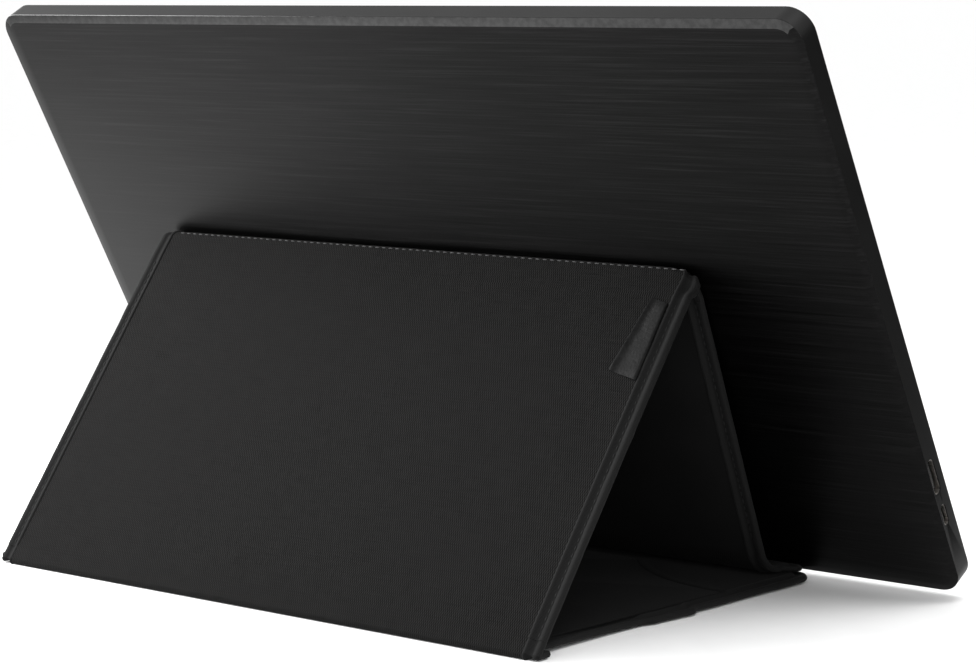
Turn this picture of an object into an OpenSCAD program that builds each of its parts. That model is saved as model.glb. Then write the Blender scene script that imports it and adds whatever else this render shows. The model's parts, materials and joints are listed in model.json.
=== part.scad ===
// Portable monitor leaning on a fabric cover that is folded into a stand.
// Millimetres, +Z up. The screen faces -Y, its back and the folded stand face +Y.
// The origin is the centre of the bounding box's bottom face.

/* [Monitor] */
// Width of the monitor, edge to edge
monitor_w = 382.1; // [300:0.1:420]
// Height of the monitor along its own face
monitor_h = 236.4; // [180:0.1:280]
// Thickness of the monitor, bezel face to back plate
monitor_t = 9.0; // [8.6:0.1:14]
// Outer corner radius of the housing
monitor_corner_r = 9.0; // [6:0.5:16]
// Lean of the monitor from the vertical, in degrees
tilt = 28.4; // [18:0.1:36]
// Width of the chamfer around the back plate
bevel_w = 3.3; // [1:0.1:5]
// Depth of that chamfer
bevel_t = 0.8; // [0.4:0.1:2]
// Straight edge of the back plate below its chamfer
cover_edge_t = 0.2; // [0.1:0.1:1]
// Side wall of the front housing
wall_t = 1.4; // [1:0.1:2.5]
// Plate of the bezel around the screen
bezel_t = 1.4; // [1:0.1:2]
// Wall of the locating rim inside the back plate
rim_t = 1.0; // [0.6:0.1:2]
// Depth of the locating rim below the back plate
rim_depth = 2.0; // [1:0.1:3]
// Gap between the locating rim and the side wall
rim_clear = 0.15; // [0.05:0.05:0.5]

/* [Screen] */
// Width of the bezel at both sides of the screen
side_bezel = 18.05; // [17:0.05:26]
// Height of the bezel above the screen
top_bezel = 15.0; // [10:0.5:24]
// Height of the bezel below the screen
screen_z = 26.0; // [24:0.5:32]
// Width of the display glass hidden behind the bezel
glass_margin = 4.0; // [2:0.5:6]
// Thickness of the display glass
glass_t = 1.2; // [0.8:0.1:1.6]
// Thickness of the optical films
films_t = 0.4; // [0.2:0.1:0.6]
// Thickness of the light guide
guide_t = 1.2; // [0.8:0.1:1.6]
// Thickness of the reflector sheet
reflector_t = 0.2; // [0.1:0.1:0.4]
// Thickness of the steel tray's sheet
tray_t = 0.5; // [0.3:0.1:0.8]
// Gap between the glass and the tray's side walls
tray_clear = 0.1; // [0.05:0.05:0.5]
// Width of the plastic frame around the light guide
frame_w = 3.2; // [2:0.1:3.5]
// Height of the strip of lamps at the light guide's lower edge
lamp_strip_h = 1.2; // [0.8:0.1:2]

/* [Boards] */
// Thickness of the circuit boards
pcb_t = 0.8; // [0.6:0.1:1.2]
// Distance of the main board's rear face from the back plane
main_board_depth = 2.2; // [2:0.1:2.4]
// Width of the main board
main_board_w = 76.0; // [60:1:120]
// Height of the main board
main_board_h = 69.0; // [60:1:75]
// Lower edge of the main board above the bottom of the monitor
main_board_z = 27.0; // [26.5:0.5:28]
// Room between the driver board's ends and the ends of the display
driver_board_inset = 52.0; // [50:1:80]
// Height of the display's driver board
driver_board_h = 13.0; // [10:0.5:14]
// Radius of the posts that carry boards and brackets
post_r = 2.2; // [1.8:0.1:2.6]
// Radius of the screws' threads
screw_r = 0.8; // [0.6:0.1:1]
// Radius of the screws' heads
screw_head_r = 1.6; // [1.2:0.1:2]
// Height of the screws' heads
screw_head_t = 0.5; // [0.3:0.1:0.6]
// Thickness of the brackets that hold the display
bracket_t = 0.6; // [0.4:0.1:0.8]

/* [Ports] */
// Width of the data port's metal shell, up the side wall
data_port_w = 14.5; // [12:0.1:16]
// Thickness of the data port's metal shell
data_port_t = 4.0; // [3:0.1:4.2]
// Height of the data port's centre up the side wall
data_port_z = 50.5; // [48:0.1:54]
// Width of the power port's metal shell, up the side wall
power_port_w = 8.6; // [8:0.1:10]
// Thickness of the power port's metal shell
power_port_t = 3.0; // [2.6:0.1:3.6]
// Height of the power port's centre up the side wall
power_port_z = 33.7; // [33:0.1:35]
// Distance of both ports' centres from the back plane
port_depth = 3.4; // [3.3:0.1:3.8]
// Length of the ports' shells into the housing
port_len = 12.0; // [10:0.5:12.5]
// Sheet of the ports' shells
port_shell_t = 0.35; // [0.25:0.05:0.5]
// Gap between a shell and its slot in the side wall
port_clear = 0.1; // [0.05:0.05:0.3]

/* [Buttons] */
// Length of each button's face
button_w = 10.0; // [6:0.5:11]
// Height of each button's face
button_h = 3.4; // [3:0.1:5]
// Height by which the buttons stand out of the bezel
button_proud = 0.6; // [0.5:0.1:1]
// Stroke of the buttons
button_travel = 0.5; // [0.3:0.05:0.5]
// Gap around each button in the bezel
button_clear = 0.15; // [0.1:0.05:0.3]
// Distance between neighbouring buttons
button_pitch = 13.0; // [12.5:0.5:15]
// Distance of the middle button from the monitor's edge
button_edge = 35.05; // [34:0.05:40]
// Height of the buttons above the bottom of the monitor
button_z = 12.0; // [9:0.5:14]
// Radius of the status light
light_r = 0.8; // [0.5:0.1:1.5]

/* [Stand] */
// Width of the panel behind the monitor
stand_w = 266.3; // [200:0.1:300]
// Shift of the stand to the side of the monitor's centre
stand_x = 10.45; // [-20:0.05:20]
// Distance from the rear fold on the table to the front fold, as a part of the rear panel's length
stand_depth_part = 0.9433; // [0.93:0.0001:0.96]
// Length of the rear panel, rear fold to top fold
back_len = 150.0; // [145:0.1:155]
// Length of the strut, top fold to front fold, as a part of the rear panel's length
strut_part = 0.8287; // [0.82:0.0001:0.86]
// Distance by which the strut stays short of the rear panel at each side
strut_inset = 2.5; // [0:0.1:5]
// Distance from the lip's front edge to the monitor's lower rear edge
lip_front_gap = 3.2; // [2.8:0.1:5]
// Distance by which the lip reaches past the rear panel at each side
lip_overhang = 2.1; // [0:0.1:3]
// Corner radius of the lip
lip_corner_r = 8.0; // [7:0.5:12]
// Distance by which the base reaches past the rear panel at each side
base_overhang = 3.8; // [0:0.1:6]
// Length of the base in front of the monitor's lower rear edge
base_reach = 6.5; // [4:0.5:7]
// Corner radius of the base
base_corner_r = 12.0; // [7:0.5:20]
// Thickness of the rear panel, the strut and the lip
panel_t = 2.8; // [2.4:0.1:3.2]
// Thickness of the base
base_t = 3.6; // [3:0.1:4]
// Thickness of the outer fabric, of the lining and of the binding's legs
fabric_t = 0.7; // [0.4:0.1:0.9]
// Width of the binding tape on each face
binding_w = 6.0; // [4:0.5:6.5]
// Radius of the rear fold that lies on the table
foot_r = 1.6; // [1.4:0.1:1.8]
// Outer radius of the top fold
apex_r = 3.4; // [3.2:0.1:4]
// Gap between the lip and the base
latch_gap = 0.1; // [0.05:0.05:0.3]
// Gap between the base and the monitor's lower edge
rest_gap = 0.1; // [0.05:0.05:0.3]
// Gap between the top fold and the monitor's back
apex_gap = 0.3; // [0.1:0.1:1]

/* [Trim] */
// Radius of the latch magnets
magnet_r = 3.0; // [2:0.5:3]
// Thickness of the latch magnets
magnet_t = 1.0; // [0.8:0.1:1.2]
// Gap between a magnet and its pocket
magnet_clear = 0.05; // [0.05:0.05:0.2]
// Place of the magnets between the front fold and the lip's front, as a part of the lip's length
magnet_part = 0.63; // [0.6:0.01:0.65]
// Distance of the outermost magnets from the stand's sides
magnet_inset = 23.0; // [15:1:40]
// Thickness of the pocket panel on the base
pocket_t = 0.5; // [0.3:0.1:0.8]
// Radius of the curved mouth of the pocket
mouth_r = 70.0; // [55:1:80]
// Thickness of the leather tab
tab_t = 1.0; // [0.6:0.1:1.5]
// Width of the leather tab at its lower end
tab_w_low = 13.2; // [10:0.1:20]
// Width of the leather tab at its upper end
tab_w_high = 7.8; // [5:0.1:15]
// Distance of the tab's lower end from the top fold
tab_drop = 44.5; // [40:0.5:70]
// Length of the leather tab
tab_len = 31.3; // [20:0.1:33]

/* [Hidden] */
$fn = 48;
eps = 0.01;
cover_t = bevel_t + cover_edge_t;
screen_w = monitor_w - 2 * side_bezel;
screen_h = monitor_h - screen_z - top_bezel;
button_x = monitor_w / 2 - button_edge;
strut_w = stand_w - 2 * strut_inset;
lip_w = stand_w + 2 * lip_overhang;
base_w = stand_w + 2 * base_overhang;
inner_w = monitor_w - 2 * wall_t;
inner_h = monitor_h - 2 * wall_t;
bezel_y = bezel_t - monitor_t;

// The stand's triangle: rear fold, top fold and front fold.
strut_len = strut_part * back_len;
bend_y = -stand_depth_part * back_len;
bend_z = base_t + latch_gap + panel_t / 2;
chord = norm([bend_y, bend_z - foot_r]);
chord_angle = atan2(bend_z - foot_r, bend_y);
foot_corner = acos((back_len * back_len + chord * chord - strut_len * strut_len) / (2 * back_len * chord));
rise_angle = chord_angle - foot_corner;
apex_y = back_len * cos(rise_angle);
apex_z = foot_r + back_len * sin(rise_angle);
back_angle = rise_angle - asin((apex_r - foot_r) / back_len);
fall_angle = atan2(bend_z - apex_z, bend_y - apex_y) + 360;
strut_angle = fall_angle + asin((apex_r - panel_t / 2) / strut_len);
back_end = sqrt(pow(back_len, 2) - pow(apex_r - foot_r, 2));
strut_end = sqrt(pow(strut_len, 2) - pow(apex_r - panel_t / 2, 2));
wrap_angle = strut_angle - back_angle;

// The monitor's lower rear corner, from its rest on the base and against the top fold.
monitor_z = base_t + rest_gap - bevel_t * sin(tilt);
monitor_y = apex_y - (apex_r + apex_gap + (apex_z - monitor_z) * sin(tilt)) / cos(tilt);
origin_y = (monitor_y - monitor_t * cos(tilt) + foot_r) / 2;
base_front = monitor_y - base_reach;
lip_len = bend_y - monitor_y - lip_front_gap;

// Ends of the layers at the folds: the skin stops near the fold, the board further back.
foot_skin_gap = 1.75;
foot_base_gap = 1.45;
foot_board_gap = 4.2;
apex_skin_gap = 1.2;
apex_board_gap = 2.9;
apex_core_gap = 0.1;
bend_strut_gap = 1.5;
bend_lip_gap = 1.7;

// Layers of a panel, measured from its outer face.
board_t = panel_t - 2 * fabric_t;
base_board_t = base_t - 2 * fabric_t;

// Layers of the display behind the bezel, from front to back.
panel_w = screen_w + 2 * glass_margin;
panel_h = screen_h + 2 * glass_margin;
panel_z = screen_z - glass_margin;
glass_back = bezel_y + glass_t;
films_back = glass_back + films_t;
guide_back = films_back + guide_t;
reflector_back = guide_back + reflector_t;
tray_back = reflector_back + tray_t;
guide_gap = 0.1;
tray_wall_t = 0.4;
film_w = panel_w - 2 * frame_w - 2 * guide_gap;
film_z = panel_z + frame_w + guide_gap;
film_h = panel_h - 2 * frame_w - 2 * guide_gap;
lamp_strip_w = film_w - 12;
lamp_z = panel_z + frame_w;

// Boards, posts and screws.
board_back = -main_board_depth;
board_front = board_back - pcb_t;
board_gap = 3.05;
main_board_x = -monitor_w / 2 + board_gap;
board_post_x = main_board_x + 3.6;
board_post_drop = [30, 6];
board_post_z = [for (drop = board_post_drop) main_board_z + main_board_h - drop];
bracket_x = monitor_w / 2 - 8.05;
bracket_low = main_board_z + main_board_h + 8;
bracket_high = monitor_h - 20.4;
bracket_z = [bracket_low, (bracket_low + bracket_high) / 2, bracket_high];
bracket_reach = [13, 4];
bracket_h = 10;
screw_grip = 3;
board_screw_grip = 2;
driver_screw_grip = 1;
button_screw_grip = 1.2;
driver_board_w = screen_w + 2 * glass_margin - 2 * driver_board_inset;
driver_z = 6;
driver_back = -5.4;
driver_post_x = [-0.44 * driver_board_w, 0, 0.44 * driver_board_w];
driver_post_z = driver_z + 2.8;
flex_count = 6;
flex_pitch = driver_board_w / 6.25;
flex_w = 0.6 * flex_pitch;
flex_t = 0.15;
flex_y = -6.95;
flex_overlap = 6;

// Chips: a row on each board, with sizes as parts of the board's own.
chip_t = 0.9;
main_chips = [
    [0.16, 0.74, 0.11, 0.12],
    [0.39, 0.83, 0.18, 0.12],
    [0.76, 0.62, 0.16, 0.17],
    [0.76, 0.30, 0.11, 0.17],
    [0.18, 0.07, 0.09, 0.10],
    [0.50, 0.04, 0.12, 0.10]
];
driver_chips = [-0.34, -0.21, 0.16, 0.29];
driver_chip = [0.028, 0.54];
socket_h = 3;
socket_t = 0.6;
cable_inset = 12;
cable_x = main_board_x + main_board_w - cable_inset;
cable_w = 12;
cable_t = 0.3;
cable_rise = 13;
socket_margin = 2;
can_place = [0.30, 0.22];
can_size = [0.39, 0.55];
can_h = 1.0;
can_t = 0.2;

// Ends of the ports' shells inside the side wall.
port_shell_start = -monitor_w / 2 + 0.3;
port_shell_end = port_shell_start + port_len;

// Buttons and their board.
button_flange = 0.7;
button_flange_t = 0.6;
flange_gap = 0.05;
switch_h = 1.0;
button_board_y = bezel_y + flange_gap + button_flange_t + button_travel + flange_gap + switch_h;
light_x = button_x + 24;
light_z = button_z;
button_board_reach = [18, 31];
button_board_rise = 7;
button_board_x = [button_x - button_board_reach[0], button_x + button_board_reach[1]];
button_board_z = [button_z - button_board_rise, button_z + button_board_rise];
button_post_x = [button_board_x[0] + 3.5, button_board_x[1] - 3.5];
button_post_z = button_board_z[0] + 2.4;
switch_size = [5, 3];

// Magnets of the latch: in the lip and below it in the base.
magnet_count = 6;
magnet_y = bend_y - magnet_part * lip_len;
magnet_pitch = (stand_w - 2 * magnet_inset) / (magnet_count - 1);

tab_low = back_len - tab_drop;
tab_rise_low = 3;
tab_fall_high = 2.2;

// Mouth of the pocket, cut out of its front corner.
pocket_front_gap = 3.0;
pocket_rear_gap = 8.0;
pocket_side_gap = 1.0;
mouth_inset = 2;
mouth_drop = 40.5;
mouth_pos = [mouth_inset - stand_w / 2, bend_y - mouth_drop];

// Frames of the pieces

// The monitor's own frame: back plane at y = 0, bottom edge at z = 0, centre at x = 0.
module on_monitor() {
    translate([0, monitor_y - origin_y, monitor_z])
        rotate([-tilt, 0, 0])
            children();
}

// The base's frame: rear fold's axis above y = 0, table at z = 0.
module on_base() {
    translate([stand_x, -origin_y, 0])
        children();
}

// The rear panel's frame: +y up the panel from the rear fold, +z towards its lining.
module on_back() {
    translate([stand_x, -origin_y, foot_r])
        rotate([back_angle, 0, 0])
            children();
}

// The strut's frame: +y down the strut from the top fold, +z towards its lining.
module on_strut() {
    translate([stand_x, apex_y - origin_y, apex_z])
        rotate([strut_angle, 0, 0])
            children();
}

// The lip's frame: front fold's axis above y = 0, the lip's underside at z = 0.
module on_lip() {
    translate([stand_x, bend_y - origin_y, base_t + latch_gap])
        children();
}

// Shared shapes

// A profile drawn in y and z, extruded evenly to both sides along x.
module along_x(length) {
    rotate([90, 0, 90])
        linear_extrude(height = length, center = true)
            children();
}

// A profile drawn in x and z, extruded along y from y0 to y1.
module along_y(y0, y1) {
    translate([0, y1, 0])
        rotate([90, 0, 0])
            linear_extrude(height = y1 - y0)
                children();
}

// A rectangle with rounded corners, centred in x and standing on y = 0.
module rounded(w, h, r) {
    translate([-w / 2, r])
        square([w, h - 2 * r]);
    translate([-w / 2 + r, 0])
        square([w - 2 * r, h]);
    for (sx = [-1, 1])
        for (cz = [r, h - r])
            translate([sx * (w / 2 - r), cz])
                circle(r = r);
}

// A rounded plate of the monitor between two depths.
module slab(w, h, r, y0, y1, z0) {
    translate([0, 0, z0])
        along_y(y0, y1)
            rounded(w, h, r);
}

// A plain box of the monitor: x, depth and height ranges.
module block(x0, x1, y0, y1, z0, z1) {
    translate([x0, y0, z0])
        cube([x1 - x0, y1 - y0, z1 - z0]);
}

// A round bar across the monitor's thickness.
module post(x, z, r, y0, y1) {
    translate([x, y0, z])
        rotate([-90, 0, 0])
            cylinder(h = y1 - y0, r = r);
}

// A slot shape with round ends, centred on the origin, long side along x.
module pill(w, h) {
    square([w - h, h], center = true);
    for (s = [-1, 1])
        translate([s * (w - h) / 2, 0])
            circle(r = h / 2);
}

// A layer of a panel with rounded front corners, drawn in x and y.
module panel_outline(w, front, rear, r, inset) {
    half = w / 2 - inset;
    y0 = front + inset;
    round_r = max(r - inset, 0.5);
    translate([-half, y0 + round_r])
        square([2 * half, rear - y0 - round_r]);
    intersection() {
        translate([-half, y0])
            square([2 * half, round_r + eps]);
        union() {
            translate([-half + round_r, y0])
                square([2 * (half - round_r), round_r + eps]);
            for (s = [-1, 1])
                translate([s * (half - round_r), y0 + round_r])
                    circle(r = round_r);
        }
    }
}

// The rounded outer edge of a binding: half a disc of a panel's thickness.
module nose(t) {
    intersection() {
        translate([0, t / 2])
            circle(r = t / 2);
        square([t, t]);
    }
}

// A binding tape's section on a panel of thickness t; its outer edge is at x = 0.
module binding_profile(t) {
    translate([-t / 2, 0])
        nose(t);
    for (z = [0, t - fabric_t])
        translate([-binding_w, z])
            square([binding_w - t / 2, fabric_t]);
}

// Binding tape around the sides and the rounded front of a panel.
module edge_binding(w, front, rear, r, t) {
    half = w / 2;
    for (s = [0, 1])
        mirror([s, 0, 0]) {
            along_y(front + r, rear)
                translate([half, 0])
                    binding_profile(t);
            translate([half - r, front + r, 0])
                rotate([0, 0, -90])
                    rotate_extrude(angle = 90)
                        translate([r, 0])
                            binding_profile(t);
        }
    translate([0, front, 0])
        rotate([0, 0, -90])
            along_y(r - half, half - r)
                binding_profile(t);
}

// Binding tape along one straight side of a panel; its outer edge is at x = 0.
module side_binding(t, y0, y1) {
    along_y(y0, y1)
        binding_profile(t);
}

// A layer wrapped around the top fold, from the rear panel's side to the strut's.
module wrap(x_len) {
    translate([0, back_end, apex_r - foot_r])
        along_x(x_len)
            difference() {
                intersection() {
                    circle(r = apex_r);
                    polygon([
                        [0, 0],
                        [0, -3 * apex_r],
                        [3 * apex_r, -3 * apex_r],
                        [3 * apex_r * cos(wrap_angle - 90), 3 * apex_r * sin(wrap_angle - 90)]
                    ]);
                }
                circle(r = apex_r - fabric_t);
            }
}

// A screw whose head lies on a face at depth y, with its thread towards the bezel.
module screw(x, z, y, length) {
    post(x, z, screw_head_r, y, y + screw_head_t);
    post(x, z, screw_r, y - length, y + eps);
}

// Monitor: housing

// Where a bracket stands: at both sides, three heights.
module at_brackets() {
    for (s = [-1, 1])
        for (z = bracket_z)
            translate([s * bracket_x, 0, z])
                children();
}

// Moulded bezel and side walls with the screen opening, ports' slots and posts.
module front_housing() {
    color([0.10, 0.10, 0.11])
        on_monitor()
            difference() {
                union() {
                    difference() {
                        slab(monitor_w, monitor_h, monitor_corner_r, -monitor_t, -cover_t, 0);
                        slab(inner_w, inner_h, monitor_corner_r - wall_t, bezel_y, 0, wall_t);
                    }
                    at_brackets()
                        post(0, 0, post_r, bezel_y - eps, tray_back);
                    for (z = board_post_z)
                        post(board_post_x, z, post_r, bezel_y - eps, board_front);
                    for (x = driver_post_x)
                        post(x, driver_post_z, post_r, bezel_y - eps, driver_back - pcb_t);
                    for (x = button_post_x)
                        post(x, button_post_z, post_r, bezel_y - eps, button_board_y);
                }
                slab(screen_w, screen_h, 1, -monitor_t - 1, bezel_y + eps, screen_z);
                port_slot(data_port_z, data_port_w, data_port_t);
                port_slot(power_port_z, power_port_w, power_port_t);
                at_buttons()
                    along_y(-monitor_t - 1, bezel_y + eps)
                        pill(button_w + 2 * button_clear, button_h + 2 * button_clear);
                post(light_x, light_z, light_r, -monitor_t - 1, bezel_y + eps);
                at_brackets()
                    post(0, 0, screw_r, tray_back - screw_grip, tray_back + eps);
                for (z = board_post_z)
                    post(board_post_x, z, screw_r, board_front - screw_grip, board_front + eps);
                for (x = driver_post_x)
                    post(x, driver_post_z, screw_r, bezel_y + 0.2, driver_back);
                for (x = button_post_x)
                    post(x, button_post_z, screw_r, bezel_y + 0.2, button_board_y + eps);
            }
}

// The hole of a port through the side wall.
module port_slot(z, w, t) {
    translate([-monitor_w / 2 - 1, -port_depth, z])
        rotate([90, 0, 90])
            linear_extrude(height = wall_t + 1 + eps)
                rotate([0, 0, 90])
                    pill(w + 2 * port_clear, t + 2 * port_clear);
}

// Brushed metal back plate with a chamfered edge and a locating rim.
module rear_cover() {
    rim_w = inner_w - 2 * rim_clear;
    rim_h = inner_h - 2 * rim_clear;
    rim_r = monitor_corner_r - wall_t - rim_clear;
    color([0.24, 0.24, 0.25])
        on_monitor() {
            slab(monitor_w, monitor_h, monitor_corner_r, -cover_t, -bevel_t, 0);
            along_x(monitor_w - 2 * monitor_corner_r)
                polygon([
                    [-bevel_t, 0],
                    [-bevel_t, monitor_h],
                    [0, monitor_h - bevel_w],
                    [0, bevel_w]
                ]);
            translate([0, 0, monitor_corner_r])
                linear_extrude(height = monitor_h - 2 * monitor_corner_r)
                    polygon([
                        [-monitor_w / 2, -bevel_t],
                        [monitor_w / 2, -bevel_t],
                        [monitor_w / 2 - bevel_w, 0],
                        [-monitor_w / 2 + bevel_w, 0]
                    ]);
            for (s = [-1, 1])
                for (z = [monitor_corner_r, monitor_h - monitor_corner_r])
                    translate([s * (monitor_w / 2 - monitor_corner_r), -bevel_t, z])
                        rotate([-90, 0, 0])
                            cylinder(h = bevel_t, r1 = monitor_corner_r, r2 = monitor_corner_r - bevel_w);
            difference() {
                slab(rim_w, rim_h, rim_r, -cover_t - rim_depth, -cover_t + eps, wall_t + rim_clear);
                slab(rim_w - 2 * rim_t, rim_h - 2 * rim_t, rim_r - rim_t, -monitor_t, -cover_t,
                    wall_t + rim_clear + rim_t);
                block(-monitor_w, -monitor_w / 2 + 10, -monitor_t, -cover_t,
                    main_board_z - 1, data_port_z + 12);
            }
        }
}

// Monitor: display

// Display glass with the picture layer, behind the bezel.
module lcd_glass() {
    color([0.03, 0.03, 0.04])
        on_monitor()
            slab(panel_w, panel_h, 0.8, bezel_y, glass_back, panel_z);
}

// Diffuser and prism films in front of the light guide.
module optical_films() {
    color([0.90, 0.91, 0.92])
        on_monitor()
            slab(film_w, film_h, 0.5, glass_back, films_back, film_z);
}

// Clear plate that spreads the lamps' light.
module light_guide() {
    guide_z = lamp_z + lamp_strip_h + guide_gap;
    color([0.88, 0.92, 0.93])
        on_monitor()
            slab(film_w, film_z + film_h - guide_z, 0.5, films_back, guide_back, guide_z);
}

// White sheet behind the light guide.
module reflector_sheet() {
    color([0.95, 0.95, 0.95])
        on_monitor()
            slab(film_w, film_h, 0.5, guide_back, reflector_back, film_z);
}

// Strip of lamps along the light guide's lower edge.
module lamp_strip() {
    color([0.92, 0.88, 0.60])
        on_monitor()
            block(-lamp_strip_w / 2, lamp_strip_w / 2, films_back, guide_back,
                lamp_z, lamp_z + lamp_strip_h);
}

// Moulded frame that holds glass, films and light guide together.
module backlight_frame() {
    color([0.85, 0.86, 0.87])
        on_monitor()
            difference() {
                slab(panel_w, panel_h, 0.8, glass_back, reflector_back, panel_z);
                slab(panel_w - 2 * frame_w, panel_h - 2 * frame_w, 0.4,
                    glass_back - 1, reflector_back + 1, panel_z + frame_w);
            }
}

// Steel tray behind the display, with walls at both sides and at the top.
module backlight_tray() {
    edge = tray_clear + tray_wall_t;
    color([0.62, 0.63, 0.64])
        on_monitor() {
            slab(panel_w + 2 * edge, panel_h + edge, 1, reflector_back, tray_back, panel_z);
            for (s = [-1, 1])
                translate([s * (panel_w / 2 + tray_clear + tray_wall_t / 2), 0, 0])
                    block(-tray_wall_t / 2, tray_wall_t / 2, bezel_y + 0.2, reflector_back + eps,
                        panel_z + 2, panel_z + panel_h);
            block(-panel_w / 2, panel_w / 2, bezel_y + 0.2, reflector_back + eps,
                panel_z + panel_h + tray_clear, panel_z + panel_h + edge);
        }
}

// Sheet brackets between the tray and the posts at both sides.
module panel_brackets() {
    color([0.66, 0.66, 0.67])
        on_monitor()
            for (s = [0, 1])
                mirror([s, 0, 0])
                    for (z = bracket_z)
                        difference() {
                            block(bracket_x - bracket_reach[0], bracket_x + bracket_reach[1],
                                tray_back, tray_back + bracket_t, z - bracket_h / 2, z + bracket_h / 2);
                            post(bracket_x, z, screw_r, tray_back - 1, tray_back + bracket_t + 1);
                        }
}

// Screws of the brackets.
module bracket_screws() {
    color([0.70, 0.70, 0.72])
        on_monitor()
            at_brackets()
                screw(0, 0, tray_back + bracket_t, screw_grip);
}

// Monitor: boards and cables

// Long board below the display that drives its glass.
module panel_driver_board() {
    color([0.05, 0.22, 0.14])
        on_monitor()
            difference() {
                block(-driver_board_w / 2, driver_board_w / 2, driver_back - pcb_t, driver_back,
                    driver_z, driver_z + driver_board_h);
                for (x = driver_post_x)
                    post(x, driver_post_z, screw_r, driver_back - 2, driver_back + 1);
            }
}

// Thin flexes from the driver board up to the lower edge of the glass.
module panel_flexes() {
    color([0.75, 0.48, 0.16])
        on_monitor()
            for (i = [0 : flex_count - 1])
                translate([(i - (flex_count - 1) / 2) * flex_pitch, 0, 0])
                    block(-flex_w / 2, flex_w / 2, flex_y, flex_y + flex_t,
                        driver_z + driver_board_h - flex_overlap, panel_z);
}

// Board with both ports, the picture electronics and the power supply.
module main_board() {
    color([0.04, 0.16, 0.26])
        on_monitor()
            difference() {
                block(main_board_x, main_board_x + main_board_w, board_front, board_back,
                    main_board_z, main_board_z + main_board_h);
                port_notch(data_port_z, data_port_w);
                port_notch(power_port_z, power_port_w);
                for (z = board_post_z)
                    post(board_post_x, z, screw_r, board_front - 1, board_back + 1);
            }
}

// The notch in which a port's shell sits.
module port_notch(z, w) {
    block(-monitor_w, port_shell_end + port_clear, board_front - 1, board_back + 1,
        z - w / 2 - port_clear, z + w / 2 + port_clear);
}

// One chip or socket on a board's rear face, from its corner and size.
module chip(x, y, z, w, t, h) {
    block(x, x + w, y, y + t, z, z + h);
}

// Chips, coils and plug sockets on the boards.
module board_components() {
    socket_w = cable_w + 2 * socket_margin;
    color([0.07, 0.07, 0.08])
        on_monitor() {
            for (c = main_chips)
                chip(main_board_x + c[0] * main_board_w, board_back,
                    main_board_z + c[1] * main_board_h,
                    c[2] * main_board_w, chip_t, c[3] * main_board_h);
            for (part = driver_chips)
                chip(part * driver_board_w, driver_back, driver_z + 0.23 * driver_board_h,
                    driver_chip[0] * driver_board_w, chip_t, driver_chip[1] * driver_board_h);
            chip(cable_x - socket_w / 2, board_front - socket_t,
                main_board_z + cable_rise - 2 * socket_h, socket_w, socket_t, 2 * socket_h);
            chip(cable_x - socket_w / 2, driver_back,
                driver_z + driver_board_h - 2 * socket_h, socket_w, chip_t, socket_h);
            for (i = [0 : flex_count - 1])
                chip((i - (flex_count - 1) / 2) * flex_pitch - flex_w / 2 + 1, flex_y + flex_t,
                    driver_z + driver_board_h - flex_overlap + 0.5,
                    flex_w - 2, driver_back - pcb_t - flex_y - flex_t, socket_h);
            chip(light_x - 1, button_board_y - socket_t, light_z - 1, 2, socket_t, 2);
        }
}

// Thin sheet can over the picture chip on the main board.
module shield_can() {
    x = main_board_x + can_place[0] * main_board_w;
    z = main_board_z + can_place[1] * main_board_h;
    w = can_size[0] * main_board_w;
    h = can_size[1] * main_board_h;
    color([0.72, 0.72, 0.74])
        on_monitor()
            difference() {
                chip(x, board_back, z, w, can_h, h);
                chip(x + can_t, board_back - 1, z + can_t, w - 2 * can_t, 1 + can_h - can_t, h - 2 * can_t);
            }
}

// Flat ribbon from the main board down to the driver board.
module display_cable() {
    y = board_front - socket_t;
    z_high = main_board_z + cable_rise;
    z_low = driver_z + driver_board_h - socket_h;
    color([0.86, 0.87, 0.88])
        on_monitor()
            translate([cable_x, 0, 0])
                along_x(cable_w)
                    polygon([
                        [y, z_high],
                        [y - cable_t, z_high],
                        [y - cable_t, z_low + cable_t],
                        [driver_back + 0.1, z_low + cable_t],
                        [driver_back + 0.1, z_low],
                        [y, z_low]
                    ]);
}

// Screws of the three boards.
module board_screws() {
    color([0.70, 0.70, 0.72])
        on_monitor() {
            for (z = board_post_z)
                screw(board_post_x, z, board_back, pcb_t + board_screw_grip);
            for (x = driver_post_x)
                screw(x, driver_post_z, driver_back, pcb_t + driver_screw_grip);
            for (x = button_post_x)
                screw(x, button_post_z, button_board_y + pcb_t, pcb_t + button_screw_grip);
        }
}

// Monitor: ports, buttons and light

// A port's metal shell, open towards the side.
module port_shell(z, w, t) {
    translate([port_shell_start, -port_depth, z])
        rotate([90, 0, 90])
            difference() {
                linear_extrude(height = port_len)
                    rotate([0, 0, 90])
                        pill(w, t);
                translate([0, 0, -1])
                    linear_extrude(height = port_len)
                        rotate([0, 0, 90])
                            pill(w - 2 * port_shell_t, t - 2 * port_shell_t);
            }
}

// The plastic tongue that carries a port's contacts.
module port_tongue(z, w, t) {
    block(port_shell_start + 1.2, port_shell_end - 1, -port_depth - t / 2, -port_depth + t / 2,
        z - w / 2, z + w / 2);
}

// Shell of the long port for picture and data.
module data_port() {
    color([0.75, 0.74, 0.70])
        on_monitor()
            port_shell(data_port_z, data_port_w, data_port_t);
}

// Contact tongue of the long port.
module data_port_tongue() {
    color([0.08, 0.08, 0.09])
        on_monitor()
            port_tongue(data_port_z, data_port_w - 4, 1.4);
}

// Shell of the short port for power.
module power_port() {
    color([0.75, 0.74, 0.70])
        on_monitor()
            port_shell(power_port_z, power_port_w, power_port_t);
}

// Contact tongue of the short port.
module power_port_tongue() {
    color([0.08, 0.08, 0.09])
        on_monitor()
            port_tongue(power_port_z, power_port_w - 2.4, 0.7);
}

// Where the three buttons stand in the bezel.
module at_buttons() {
    for (i = [-1, 0, 1])
        translate([button_x + i * button_pitch, 0, button_z])
            children();
}

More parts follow.
